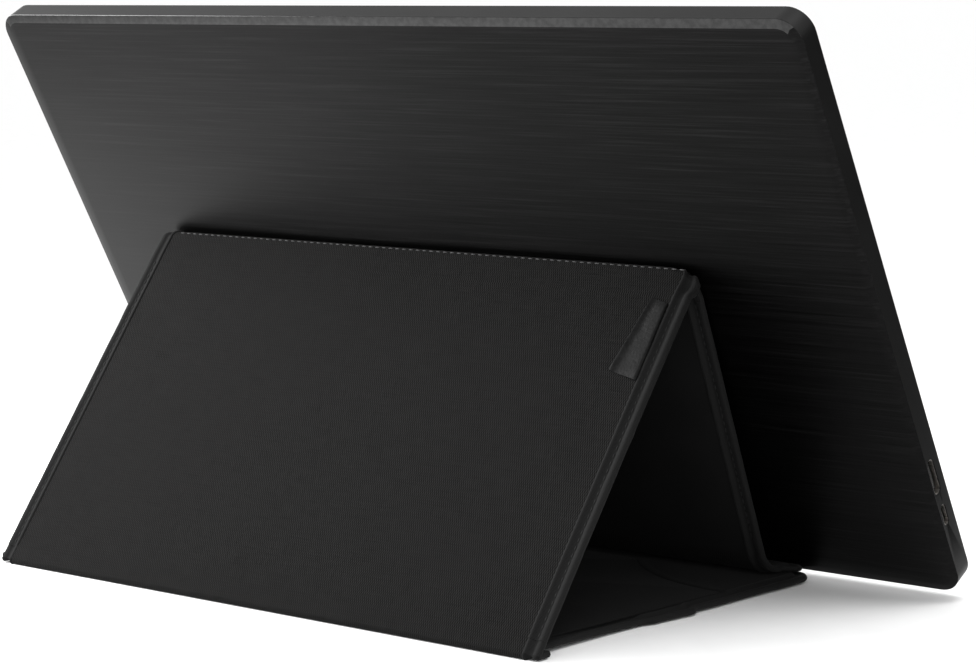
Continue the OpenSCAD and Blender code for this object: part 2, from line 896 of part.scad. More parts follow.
// One button: a face through the bezel and a flange behind it.
module button(i) {
    translate([button_x + i * button_pitch, 0, button_z]) {
        along_y(-monitor_t - button_proud, bezel_y + flange_gap + eps)
            pill(button_w, button_h);
        along_y(bezel_y + flange_gap, bezel_y + flange_gap + button_flange_t)
            pill(button_w + 2 * button_flange, button_h + 2 * button_flange);
    }
}

// Button that switches the monitor on.
module power_button() {
    color([0.16, 0.16, 0.17])
        on_monitor()
            button(1);
}

// Button that brightens the picture.
module brighter_button() {
    color([0.16, 0.16, 0.17])
        on_monitor()
            button(0);
}

// Button that dims the picture.
module dimmer_button() {
    color([0.16, 0.16, 0.17])
        on_monitor()
            button(-1);
}

// Small board behind the buttons.
module button_board() {
    color([0.05, 0.22, 0.14])
        on_monitor()
            difference() {
                block(button_board_x[0], button_board_x[1], button_board_y, button_board_y + pcb_t,
                    button_board_z[0], button_board_z[1]);
                for (x = button_post_x)
                    post(x, button_post_z, screw_r, button_board_y - 1, button_board_y + pcb_t + 1);
            }
}

// Switches that the buttons press.
module button_switches() {
    color([0.55, 0.55, 0.57])
        on_monitor()
            at_buttons()
                block(-switch_size[0] / 2, switch_size[0] / 2, button_board_y - switch_h, button_board_y,
                    -switch_size[1] / 2, switch_size[1] / 2);
}

// Clear rod that shows the status light in the bezel.
module status_light() {
    color([0.95, 0.95, 0.97])
        on_monitor()
            post(light_x, light_z, light_r, -monitor_t, button_board_y - socket_t);
}

// Cover: base

// Woven skin under the base.
module base_outer_fabric() {
    color([0.17, 0.17, 0.18])
        on_base()
            linear_extrude(height = fabric_t)
                panel_outline(base_w, base_front, -foot_base_gap, base_corner_r, binding_w);
}

// Stiff board of the base, with pockets for the magnets.
module base_board() {
    color([0.42, 0.38, 0.33])
        on_base()
            difference() {
                translate([0, 0, fabric_t])
                    linear_extrude(height = base_board_t)
                        panel_outline(base_w, base_front, -foot_board_gap, base_corner_r, base_t / 2);
                at_magnets(magnet_y)
                    translate([0, 0, base_t - fabric_t - magnet_t])
                        cylinder(h = magnet_t + 1, r = magnet_r + magnet_clear);
            }
}

// Soft lining on top of the base.
module base_lining() {
    color([0.09, 0.09, 0.10])
        on_base()
            translate([0, 0, base_t - fabric_t])
                linear_extrude(height = fabric_t)
                    panel_outline(base_w, base_front, -foot_board_gap, base_corner_r, binding_w);
}

// Binding tape around the base's sides and front.
module base_binding() {
    color([0.13, 0.13, 0.14])
        on_base() {
            edge_binding(base_w, base_front, -foot_board_gap, base_corner_r, base_t);
            for (s = [0, 1])
                mirror([s, 0, 0])
                    translate([base_w / 2 - binding_w, -foot_board_gap - eps, 0])
                        cube([binding_w - base_t / 2, foot_board_gap - foot_base_gap + eps, fabric_t]);
        }
}

// A row of magnets across a panel.
module at_magnets(y) {
    for (i = [0 : magnet_count - 1])
        translate([(i - (magnet_count - 1) / 2) * magnet_pitch, y, 0])
            children();
}

// Latch magnets in the base's board.
module base_magnets() {
    color([0.72, 0.73, 0.75])
        on_base()
            at_magnets(magnet_y)
                translate([0, 0, base_t - fabric_t - magnet_t])
                    cylinder(h = magnet_t, r = magnet_r);
}

// Flat pocket on the base with a curved mouth at one front corner.
module pocket_panel() {
    half = base_w / 2 - binding_w - pocket_side_gap;
    color([0.11, 0.11, 0.12])
        on_base()
            translate([0, 0, base_t])
                linear_extrude(height = pocket_t)
                    difference() {
                        translate([-half, bend_y + pocket_front_gap])
                            square([2 * half, -pocket_rear_gap - bend_y - pocket_front_gap]);
                        translate(mouth_pos)
                            circle(r = mouth_r);
                    }
}

// Rolled fabric of the rear fold, on the table.
module foot_fold() {
    color([0.15, 0.15, 0.16])
        on_base()
            translate([0, 0, foot_r])
                along_x(stand_w)
                    circle(r = foot_r);
}

// Cover: rear panel

// Woven skin of the rear panel, wrapped over the top fold.
module back_outer_fabric() {
    w = stand_w - 2 * binding_w;
    color([0.17, 0.17, 0.18])
        on_back() {
            translate([-w / 2, foot_skin_gap, -foot_r])
                cube([w, back_end - foot_skin_gap, fabric_t]);
            wrap(w);
        }
}

// Stiff board of the rear panel.
module back_board() {
    w = stand_w - panel_t;
    color([0.42, 0.38, 0.33])
        on_back()
            translate([-w / 2, foot_board_gap, fabric_t - foot_r])
                cube([w, back_end - apex_board_gap - foot_board_gap, board_t]);
}

// Soft lining of the rear panel.
module back_lining() {
    w = stand_w - 2 * binding_w;
    color([0.09, 0.09, 0.10])
        on_back()
            translate([-w / 2, foot_board_gap, panel_t - fabric_t - foot_r])
                cube([w, back_end - apex_board_gap - foot_board_gap, fabric_t]);
}

// Binding tape along both sides of the rear panel and over the top fold.
module back_bindings() {
    color([0.13, 0.13, 0.14])
        on_back()
            for (s = [0, 1])
                mirror([s, 0, 0]) {
                    translate([stand_w / 2, 0, -foot_r])
                        side_binding(panel_t, foot_board_gap, back_end - apex_board_gap);
                    translate([stand_w / 2 - binding_w, foot_skin_gap, -foot_r])
                        cube([binding_w - panel_t / 2, back_end - foot_skin_gap, fabric_t]);
                    translate([stand_w / 2 - (binding_w + panel_t / 2) / 2, 0, 0])
                        wrap(binding_w - panel_t / 2);
                }
}

// Roll inside the top fold.
module apex_fold() {
    color([0.10, 0.10, 0.11])
        on_back()
            translate([0, back_end, apex_r - foot_r])
                along_x(stand_w - panel_t)
                    circle(r = apex_r - fabric_t - apex_core_gap);
}

// Plain leather tab at one side of the rear panel.
module leather_tab() {
    color([0.14, 0.13, 0.13])
        on_back()
            translate([-stand_w / 2 + binding_w, tab_low, -foot_r - tab_t])
                linear_extrude(height = tab_t)
                    polygon([
                        [0, 0],
                        [tab_w_low, tab_rise_low],
                        [tab_w_high, tab_len + tab_fall_high],
                        [0, tab_len]
                    ]);
}

// Cover: strut

// Woven skin of the strut.
module strut_outer_fabric() {
    w = strut_w - 2 * binding_w;
    color([0.17, 0.17, 0.18])
        on_strut()
            translate([-w / 2, apex_skin_gap, -apex_r])
                cube([w, strut_end - bend_strut_gap - apex_skin_gap, fabric_t]);
}

// Stiff board of the strut.
module strut_board() {
    w = strut_w - panel_t;
    color([0.42, 0.38, 0.33])
        on_strut()
            translate([-w / 2, apex_board_gap, fabric_t - apex_r])
                cube([w, strut_end - bend_strut_gap - apex_board_gap, board_t]);
}

// Soft lining of the strut.
module strut_lining() {
    w = strut_w - 2 * binding_w;
    color([0.09, 0.09, 0.10])
        on_strut()
            translate([-w / 2, apex_board_gap, panel_t - fabric_t - apex_r])
                cube([w, strut_end - bend_strut_gap - apex_board_gap, fabric_t]);
}

// Binding tape along both sides of the strut.
module strut_bindings() {
    color([0.13, 0.13, 0.14])
        on_strut()
            for (s = [0, 1])
                mirror([s, 0, 0]) {
                    translate([strut_w / 2, 0, -apex_r])
                        side_binding(panel_t, apex_board_gap, strut_end - bend_strut_gap);
                    translate([strut_w / 2 - binding_w, apex_skin_gap, -apex_r])
                        cube([binding_w - panel_t / 2, apex_board_gap - apex_skin_gap + eps, fabric_t]);
                }
}

// Roll of the front fold between strut and lip.
module bend_fold() {
    color([0.15, 0.15, 0.16])
        on_strut()
            translate([0, strut_end, panel_t / 2 - apex_r])
                along_x(strut_w)
                    circle(r = panel_t / 2);
}

// Cover: lip

// Woven skin on top of the lip.
module lip_outer_fabric() {
    color([0.17, 0.17, 0.18])
        on_lip()
            translate([0, 0, panel_t - fabric_t])
                linear_extrude(height = fabric_t)
                    panel_outline(lip_w, -lip_len, -bend_lip_gap, lip_corner_r, binding_w);
}

// Stiff board of the lip, with pockets for the magnets.
module lip_board() {
    color([0.42, 0.38, 0.33])
        on_lip()
            difference() {
                translate([0, 0, fabric_t])
                    linear_extrude(height = board_t)
                        panel_outline(lip_w, -lip_len, -bend_lip_gap, lip_corner_r, panel_t / 2);
                at_magnets(magnet_y - bend_y)
                    cylinder(h = fabric_t + magnet_t, r = magnet_r + magnet_clear);
            }
}

// Soft lining under the lip.
module lip_lining() {
    color([0.09, 0.09, 0.10])
        on_lip()
            linear_extrude(height = fabric_t)
                panel_outline(lip_w, -lip_len, -bend_lip_gap, lip_corner_r, binding_w);
}

// Binding tape around the lip's sides and front.
module lip_binding() {
    color([0.13, 0.13, 0.14])
        on_lip()
            edge_binding(lip_w, -lip_len, -bend_lip_gap, lip_corner_r, panel_t);
}

// Latch magnets in the lip's board.
module lip_magnets() {
    color([0.72, 0.73, 0.75])
        on_lip()
            at_magnets(magnet_y - bend_y)
                translate([0, 0, fabric_t])
                    cylinder(h = magnet_t, r = magnet_r);
}

front_housing();
rear_cover();
lcd_glass();
optical_films();
light_guide();
reflector_sheet();
lamp_strip();
backlight_frame();
backlight_tray();
panel_brackets();
bracket_screws();
panel_driver_board();
panel_flexes();
main_board();
board_components();
shield_can();
display_cable();
board_screws();
data_port();
data_port_tongue();
power_port();
power_port_tongue();
button_board();
button_switches();
status_light();
power_button();
brighter_button();
dimmer_button();
base_outer_fabric();
base_board();
base_lining();
base_binding();
base_magnets();
pocket_panel();
foot_fold();
back_outer_fabric();
back_board();
back_lining();
back_bindings();
apex_fold();
leather_tab();
strut_outer_fabric();
strut_board();
strut_lining();
strut_bindings();
bend_fold();
lip_outer_fabric();
lip_board();
lip_lining();
lip_binding();
lip_magnets();
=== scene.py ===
# %% [markdown]
# A slim portable monitor leans on its own cover. The cover is one long strip of woven cloth over
# stiff boards, folded into a triangle: a base on the table, a rear panel that rises from its back
# edge, a strut that comes down again behind the monitor, and a short lip that holds on the base.
# The measured model gives the places and sizes, and this script gives the cloth, the edges, the
# seams and the finishes. Each piece is started from a primitive and shaped the way a hand would do it.

# %% Load the measured model
import json
import math

import bpy
from mathutils import Matrix, Vector, noise


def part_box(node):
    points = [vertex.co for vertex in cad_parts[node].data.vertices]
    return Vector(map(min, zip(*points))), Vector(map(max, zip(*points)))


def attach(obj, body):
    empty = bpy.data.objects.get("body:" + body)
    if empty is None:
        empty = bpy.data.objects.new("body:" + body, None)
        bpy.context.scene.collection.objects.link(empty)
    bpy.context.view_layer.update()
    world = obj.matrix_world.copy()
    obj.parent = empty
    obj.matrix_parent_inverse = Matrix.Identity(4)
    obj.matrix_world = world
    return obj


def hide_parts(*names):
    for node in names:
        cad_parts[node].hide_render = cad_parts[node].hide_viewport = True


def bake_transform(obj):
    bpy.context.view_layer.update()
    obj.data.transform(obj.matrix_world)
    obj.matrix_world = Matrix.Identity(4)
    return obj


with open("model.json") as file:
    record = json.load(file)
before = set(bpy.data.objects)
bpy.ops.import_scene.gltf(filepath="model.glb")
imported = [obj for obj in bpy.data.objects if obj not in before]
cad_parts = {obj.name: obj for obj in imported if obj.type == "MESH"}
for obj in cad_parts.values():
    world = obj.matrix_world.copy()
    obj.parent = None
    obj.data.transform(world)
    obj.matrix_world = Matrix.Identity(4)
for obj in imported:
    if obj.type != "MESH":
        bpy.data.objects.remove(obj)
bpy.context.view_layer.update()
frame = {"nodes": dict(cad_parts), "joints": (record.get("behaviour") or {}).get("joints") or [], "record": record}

mm = 0.001
nodes_of = frame["nodes"]

# %% [markdown]
# The hinges of the measured model are the folds of the cover. From their three places follow the
# slopes of the rear panel and of the strut, so every cloth piece can be drawn flat, in the panel's own
# frame, and turned into place afterwards. Drawing flat is how the cover is cut and sewn too.

# %% Folds and panel frames
hinges = {joint["name"]: joint for joint in frame["joints"]}
foot = Vector(hinges["rear_panel_fold"]["pos_m"])
apex = Vector(hinges["strut_fold"]["pos_m"])
bend = Vector(hinges["lip_fold"]["pos_m"])

foot_r = 1.6 * mm
apex_r = 3.4 * mm
panel_t = 2.8 * mm
base_t = 3.6 * mm
cloth_t = 0.7 * mm
lip_under = 3.7 * mm
stand_half = 133.15 * mm
strut_half = 130.65 * mm
lip_half = 136.60 * mm
base_half = 136.95 * mm

rise, fall = apex - foot, bend - apex
back_angle = math.atan2(rise.z, rise.y) - math.asin((apex_r - foot_r) / rise.length)
strut_angle = math.atan2(fall.z, fall.y) + math.asin((apex_r - panel_t / 2) / fall.length)
back_end = math.sqrt(rise.length ** 2 - (apex_r - foot_r) ** 2)
strut_end = math.sqrt(fall.length ** 2 - (apex_r - panel_t / 2) ** 2)
top_turn = math.degrees(strut_angle - back_angle) % 360
front_turn = math.degrees(strut_angle) % 360 - 180
foot_turn = math.degrees(back_angle)

on_back = (back_angle, foot)
on_strut = (strut_angle, apex)
on_base = (0.0, Vector((foot.x, foot.y, 0)))
on_lip = (0.0, Vector((bend.x, bend.y, lip_under)))
print("rear panel", round(foot_turn, 2), "top fold", round(top_turn, 2),
      "front fold", round(front_turn, 2))

# %% [markdown]
# Every piece needs the same few steps: select only it, enter edit mode, come back, and fix its place
# in its mesh. Small helpers keep the later cells short. A seeded noise that pushes the points of a
# piece a few hundredths of a millimetre keeps tape and cloth from looking machined.

# %% Helpers for any piece
def pick(piece):
    bpy.ops.object.select_all(action="DESELECT")
    piece.select_set(True)
    bpy.context.view_layer.objects.active = piece


def edit(piece, *steps):
    pick(piece)
    bpy.ops.object.mode_set(mode="EDIT")
    bpy.ops.mesh.select_all(action="SELECT")
    for step in steps:
        step()
    bpy.ops.object.mode_set(mode="OBJECT")


def settle(piece, name, panel=(0.0, Vector((0, 0, 0)))):
    """Name a piece, turn it into its panel's place and keep that place in its mesh."""
    pick(piece)
    bpy.ops.object.transform_apply(location=True, rotation=True, scale=True)
    piece.rotation_euler.x, piece.location = panel
    bpy.ops.object.transform_apply(location=True, rotation=True, scale=True)
    piece.name = piece.data.name = name
    return piece


def outward():
    bpy.ops.mesh.normals_make_consistent(inside=False)


def shape(piece, kind, **settings):
    """Add a modifier, set it and apply it."""
    pick(piece)
    modifier = piece.modifiers.new(kind.lower(), kind)
    for key, value in settings.items():
        setattr(modifier, key, value)
    bpy.ops.object.modifier_apply(modifier=modifier.name)


def smooth(piece, degrees=35):
    pick(piece)
    bpy.ops.object.shade_smooth_by_angle(angle=math.radians(degrees))


def ruffle(piece, amount, cell, seed=0.0):
    """Push the points along their normals by a soft noise with patches of about one cell."""
    for vertex in piece.data.vertices:
        push = noise.noise(vertex.co / cell + Vector((seed, seed, seed)))
        vertex.co += vertex.normal * push * amount


def dress(piece, finish, body=None, replaces=()):
    """Give a piece its finish, its body and the measured nodes that it stands for."""
    piece.data.materials.clear()
    piece.data.materials.append(finish)
    if body:
        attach(piece, body)
    if replaces:
        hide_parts(*replaces)
    print(piece.name, len(piece.data.polygons), "faces")
    return piece


def complete(piece, name, panel, degrees, finish, body=None, replaces=()):
    """Settle a piece in its panel's place, smooth it and dress it."""
    settle(piece, name, panel)
    smooth(piece, degrees)
    return dress(piece, finish, body, replaces)


# %% [markdown]
# Tape, cloth and folds are all one section drawn along a path. The section starts as a circle whose
# points are put in place, and is extruded along straight runs and spun round the folds, with the ends
# filled at last. While it grows, its length is written down, so a flat map named cloth can be laid on
# it: across the section and along the path, in metres. Weave and ribs follow that map round the folds.

# %% A section drawn along a path
def draw_along(name, section, path, caps=True):
    """Extrude a closed section: ("go", vector, steps) or ("turn", centre, axis, degrees, steps)."""
    bpy.ops.object.select_all(action="DESELECT")
    bpy.ops.mesh.primitive_circle_add(vertices=len(section), radius=mm, fill_type="NOTHING")
    piece = bpy.context.object
    piece.name = name
    for vertex, point in zip(piece.data.vertices, section):
        vertex.co = point
    middle = sum((Vector(p) for p in section), Vector()) / len(section)
    reach, travelled = [0.0], 0.0
    bpy.ops.object.mode_set(mode="EDIT")
    bpy.ops.mesh.select_all(action="SELECT")
    for kind, *numbers in path:
        if kind == "go":
            vector, steps = numbers
            part = Vector(vector) / steps
            for _ in range(steps):
                bpy.ops.mesh.extrude_region_move(TRANSFORM_OT_translate={"value": part})
                middle += part
                travelled += part.length
                reach.append(travelled)
        else:
            centre, axis, degrees, steps = numbers
            bpy.ops.mesh.spin(steps=steps, angle=-math.radians(degrees), center=centre, axis=axis)
            arm = middle - Vector(centre)
            arm -= arm.project(Vector(axis))
            for _ in range(steps):
                travelled += abs(math.radians(degrees)) * arm.length / steps
                reach.append(travelled)
            turned = Matrix.Rotation(math.radians(degrees), 3, axis)
            middle = Vector(centre) + turned @ (middle - Vector(centre))
    bpy.ops.object.mode_set(mode="OBJECT")
    lay_map(piece, section, reach)
    if caps:
        edit(piece, lambda: bpy.ops.mesh.fill_holes(sides=0), outward)
    return piece


def lay_map(piece, section, reach):
    """The map named cloth: length round the section and length along the path."""
    count = len(section)
    round_it = [0.0]
    for a, b in zip(section, [*section[1:], section[0]]):
        round_it.append(round_it[-1] + (Vector(b) - Vector(a)).length)
    while piece.data.uv_layers:
        piece.data.uv_layers.remove(piece.data.uv_layers[0])
    layer = piece.data.uv_layers.new(name="cloth")
    for face in piece.data.polygons:
        places = [v % count for v in face.vertices]
        over_seam = 0 in places and count - 1 in places
        for loop, vertex in zip(face.loop_indices, face.vertices):
            place = vertex % count
            across = round_it[count] if over_seam and place == 0 else round_it[place]
            layer.data[loop].uv = (across, reach[vertex // count])


def sheet_ring(half_width, columns, y, low, high):
    """The section of a flat layer across a panel, between two heights."""
    across = [-half_width + 2 * half_width * k / columns for k in range(columns + 1)]
    return [(x, y, low) for x in across] + [(x, y, high) for x in reversed(across)]


# %% [markdown]
# Finishes come before the pieces. A finish is a small tree of nodes on the main shader. Numbers that
# are the same all over stay on the shader's own sockets, and only what changes over the surface is
# linked: colour, roughness and bump. A small class writes such trees in a few lines, and one function
# makes every plain surface that has a single grain.

# %% Helpers for finishes
class Finish:
    """One material and its node tree."""

    def __init__(self, name, **shader):
        self.material = bpy.data.materials.new(name)
        self.material.use_nodes = True
        self.tree = self.material.node_tree
        self.shader = self.tree.nodes["Principled BSDF"]
        for key, value in shader.items():
            self.shader.inputs[key.replace("_", " ")].default_value = value
        print("finish", name)

    def add(self, kind, inputs=None, **settings):
        node = self.tree.nodes.new("ShaderNode" + kind)
        for key, value in settings.items():
            setattr(node, key, value)
        for key, value in (inputs or {}).items():
            if isinstance(value, bpy.types.NodeSocket):
                self.tree.links.new(value, node.inputs[key])
            else:
                node.inputs[key].default_value = value
        return node

    def place(self, scale, turn=(0, 0, 0)):
        coordinates = self.add("TexCoord").outputs["Object"]
        values = {"Vector": coordinates, "Scale": scale, "Rotation": turn}
        return self.add("Mapping", values).outputs["Vector"]

    def map(self, scale):
        coordinates = self.add("UVMap", uv_map="cloth").outputs["UV"]
        return self.add("Mapping", {"Vector": coordinates, "Scale": scale}).outputs["Vector"]

    def noise(self, vector, scale=1.0, detail=3.0, roughness=0.5):
        values = {"Vector": vector, "Scale": scale, "Detail": detail, "Roughness": roughness}
        return self.add("TexNoise", values).outputs["Fac"]

    def math(self, operation, a, b=0.0):
        return self.add("Math", {0: a, 1: b}, operation=operation).outputs[0]

    def mix(self, a, share_a, b, share_b):
        return self.math("ADD", self.math("MULTIPLY", a, share_a), self.math("MULTIPLY", b, share_b))

    def between(self, value, low, high, out_low=0.0, out_high=1.0):
        values = {"Value": value, "From Min": low, "From Max": high, "To Min": out_low, "To Max": out_high}
        return self.add("MapRange", values).outputs["Result"]

    def colours(self, value, *stops):
        ramp = self.add("ValToRGB", {"Fac": value})
        points = ramp.color_ramp.elements
        while len(points) < len(stops):
            points.new(0.5)
        for point, (place, colour) in zip(points, stops):
            point.position, point.color = place, (*colour, 1)
        return ramp.outputs["Color"]

    def link(self, socket, value):
        self.tree.links.new(value, self.shader.inputs[socket])
        return self

    def bump(self, height, distance, strength=0.5):
        values = {"Height": height, "Distance": distance, "Strength": strength}
        return self.link("Normal", self.add("Bump", values).outputs["Normal"])


def grey(value, tint=0.0):
    """A neutral colour, slightly warm with a positive tint and cold with a negative one."""
    return (value * (1 + tint), value, value * (1 - tint))


def grained(name, low, high, grain, rough, metallic=0.0, height=0.00002, stretch=(1, 1, 1), detail=3,
            stops=(0.3, 0.7), strength=0.3, **shader):
    """A surface whose colour, roughness and height change with one grain of a given size."""
    made = Finish(name, Metallic=metallic, **shader)
    pattern = made.noise(made.place([s / grain for s in stretch]), detail=detail)
    made.link("Base Color", made.colours(pattern, (stops[0], low), (stops[1], high)))
    made.link("Roughness", made.between(pattern, 0.3, 0.7, *rough))
    if height:
        made.bump(pattern, height, strength)
    return made.material


# %% [markdown]
# The back plate is metal, anodised dark and brushed from side to side. Brushing leaves hairlines that
# are some centimetres long and a fraction of a millimetre high, so the noise is stretched along X by
# its scale. The hairlines change colour, roughness and height a little at a time: too much of any one
# makes wood grain. Only the chamfer's top run gets a lighter, smoother finish: its lighter colour is a
# painted highlight, where the light falls on that run.

# %% Brushed plate and its chamfer
plate = Finish("brushed_dark_plate", Metallic=0.92, IOR=1.5)
hairlines = plate.noise(plate.place((24, 1700, 1700)), detail=4, roughness=0.65)
long_lines = plate.noise(plate.place((12, 950, 950)), detail=2)
both_lines = plate.mix(hairlines, 0.65, long_lines, 0.35)
plate.link("Base Color", plate.colours(both_lines, (0.3, grey(0.003)), (0.52, grey(0.006)),
                                       (0.68, grey(0.0125))))
plate.link("Roughness", plate.between(both_lines, 0.3, 0.7, 0.32, 0.44))
plate.bump(both_lines, 0.00002, 0.35)

# painted highlight: this lighter finish goes only on the chamfer's top run, where the light falls
chamfer = grained("chamfer_painted_highlight", grey(0.031), grey(0.043), 1 / 500, (0.14, 0.20), 0.92, 0.00001,
                  detail=2, stops=(0.35, 0.65), IOR=1.5)

# %% [markdown]
# The housing's side walls and bezel are moulded in dark plastic with the fine eroded texture of a steel
# mould. Two noises make it: one at a quarter of a millimetre for the texture, and a wide faint one for
# the slight sheen that handling leaves. Glass and buttons get their own finishes.

# %% Moulded plastic, glass and buttons
plastic = Finish("moulded_housing", IOR=1.47, Specular_IOR_Level=0.15)
mould_grain = plastic.noise(plastic.place((4200, 4200, 4200)), detail=2)
handled = plastic.noise(plastic.place((18, 18, 18)), detail=3)
plastic.link("Base Color", plastic.colours(handled, (0.3, grey(0.0035)), (0.7, grey(0.006))))
plastic.link("Roughness", plastic.between(handled, 0.3, 0.7, 0.36, 0.46))
plastic.bump(mould_grain, 0.00003, 0.35)

glass = Finish("display_glass", IOR=1.5, Coat_Weight=0.6, Coat_Roughness=0.22)
glass_grain = glass.noise(glass.place((6000, 6000, 6000)), detail=1)
glass_depth = glass.noise(glass.place((9, 9, 9)), detail=1)
glass.link("Base Color", glass.colours(glass_depth, (0.3, grey(0.006, -0.12)), (0.7, grey(0.011, -0.10))))
glass.link("Roughness", glass.between(glass_grain, 0.3, 0.7, 0.30, 0.42))
glass.bump(glass_grain, 0.000008, 0.2)

button_finish = grained("satin_button", grey(0.09), grey(0.13), 1 / 700, (0.30, 0.44),
                        stops=(0.35, 0.7), strength=0.2, IOR=1.47)

# %% [markdown]
# The cover's skin is a plain weave of dark yarn. Seen close, threads pass over and under each other in
# a checkerboard of small humps, half a millimetre apart across the cloth and one along it. The product
# of two sine waves on the cloth map gives just that field of humps, and a noise stretched along each
# thread gives the uneven, slightly lighter yarns. A wide noise stands for the pull of the glue below.

# %% Woven skin
def woven(name, dark, light, cell, rise):
    """A plain weave with uneven yarns, on the map named cloth."""
    made = Finish(name, IOR=1.4, Sheen_Weight=0.02, Sheen_Roughness=0.5, Specular_IOR_Level=0.07)
    parts = made.add("SeparateXYZ", {"Vector": made.map((math.pi / cell, math.pi / rise, 1))})
    warp = made.math("SINE", parts.outputs["X"])
    weft = made.math("SINE", parts.outputs["Y"])
    humps = made.between(made.math("MULTIPLY", warp, weft), -1, 1)
    yarn = made.noise(made.map((90, 1 / cell, 1)), detail=2)
    cross_yarn = made.noise(made.map((1 / cell, 140, 1)), detail=2)
    uneven = made.mix(yarn, 0.5, cross_yarn, 0.5)
    tone = made.mix(humps, 0.6, uneven, 0.6)
    pull = made.noise(made.place((28, 28, 28)), detail=2)
    made.link("Base Color", made.colours(tone, (0.42, grey(dark, 0.02)), (0.78, grey(light, 0.02))))
    made.link("Roughness", made.between(humps, 0, 1, 0.92, 0.74))
    made.bump(made.mix(humps, 0.24, pull, 0.9), 0.0008, 0.55)
    return made.material


weave_cell, weave_rise = 0.46 * mm, 1.15 * mm
skin_cloth = woven("woven_skin", 0.0001, 0.0115, weave_cell, weave_rise)

# %% [markdown]
# The raw edges are closed with a woven tape, folded round the edge and sewn down. Tape has fine ribs
# across its length and a softer face than the skin. The lining inside is a short-napped cloth, darker
# than all the rest, with no visible weave: a fine noise for the nap and a wide one for brushed patches.

# %% Binding tape, lining, thread and leather
rib_cell = 0.45 * mm

tape = Finish("ribbed_tape", IOR=1.4, Sheen_Weight=0.03, Sheen_Roughness=0.45, Specular_IOR_Level=0.12)
tape_parts = tape.add("SeparateXYZ", {"Vector": tape.map((math.tau / rib_cell, math.tau / rib_cell, 1))})
ribs = tape.between(tape.math("SINE", tape_parts.outputs["Y"]), -1, 1)
tape_fluff = tape.noise(tape.place((2600, 2600, 2600)), detail=3)
tape_tone = tape.mix(ribs, 0.4, tape_fluff, 0.6)
tape.link("Base Color", tape.colours(tape_tone, (0.25, grey(0.004)), (0.8, grey(0.014))))
tape.link("Roughness", tape.between(tape_fluff, 0.3, 0.7, 0.68, 0.86))
tape.bump(tape_tone, 0.00016, 0.55)

lining = Finish("napped_lining", IOR=1.4, Sheen_Weight=0.02, Sheen_Roughness=0.6, Specular_IOR_Level=0.05)
nap = lining.noise(lining.place((3800, 3800, 3800)), detail=3)
patches = lining.noise(lining.place((40, 40, 40)), detail=2)
nap_tone = lining.mix(nap, 0.6, patches, 0.4)
lining.link("Base Color", lining.colours(nap_tone, (0.3, grey(0.003)), (0.7, grey(0.008))))
lining.link("Roughness", lining.between(nap, 0.3, 0.7, 0.86, 0.98))
lining.bump(nap, 0.00012, 0.6)

leather = Finish("dark_leather", IOR=1.5, Specular_IOR_Level=0.05)
pores = leather.add("TexVoronoi", {"Vector": leather.place((900, 900, 900)), "Scale": 1.0}).outputs["Distance"]
creases = leather.noise(leather.place((260, 260, 260)), detail=4)
hide_tone = leather.mix(pores, 0.5, creases, 0.5)
leather.link("Base Color", leather.colours(hide_tone, (0.2, grey(0.005)), (0.7, grey(0.010))))
leather.link("Roughness", leather.between(creases, 0.3, 0.7, 0.42, 0.56))
leather.bump(hide_tone, 0.00018, 0.5)


def sewing_thread(name, low, high, shine):
    """Twisted thread, with a grain as fine as its strands."""
    return grained(name, grey(low), grey(high), 1 / 5200, (0.45, 0.62), height=0.00005, detail=2,
                   strength=0.5, IOR=1.45, Specular_IOR_Level=shine)


thread = sewing_thread("sewing_thread", 0.010, 0.022, 0.15)
# a lighter grey finish for the row of stitches along the top
top_seam_light_grey = sewing_thread("top_seam_light_grey", 0.05, 0.09, 0.2)

# %% [markdown]
# The parts inside the housing are carried over from the measured model. They hardly show, but a shelf
# part can be opened up, so each gets a finish of its own. The function for one grain makes most of
# them, from a colour, a grain size and how much of the grain stands up.

# %% Finishes of the inner parts
def circuit(name, low, high):
    """Varnished board with copper tracks as a brick pattern under the varnish."""
    made = Finish(name, IOR=1.5, Coat_Weight=0.4, Coat_Roughness=0.2)
    flat = made.place((1, 1, 1), (math.radians(90), 0, 0))
    tracks = made.add("TexBrick", {"Vector": flat, "Scale": 160.0, "Color1": (*low, 1), "Color2": (*low, 1),
                                   "Mortar": (*high, 1), "Mortar Size": 0.08, "Brick Width": 0.9,
                                   "Row Height": 0.22})
    dust = made.noise(made.place((300, 300, 300)), detail=2)
    made.link("Base Color", tracks.outputs["Color"])
    made.link("Roughness", made.between(dust, 0.3, 0.7, 0.28, 0.42))
    made.bump(tracks.outputs["Fac"], 0.00003, 0.3)
    return made.material


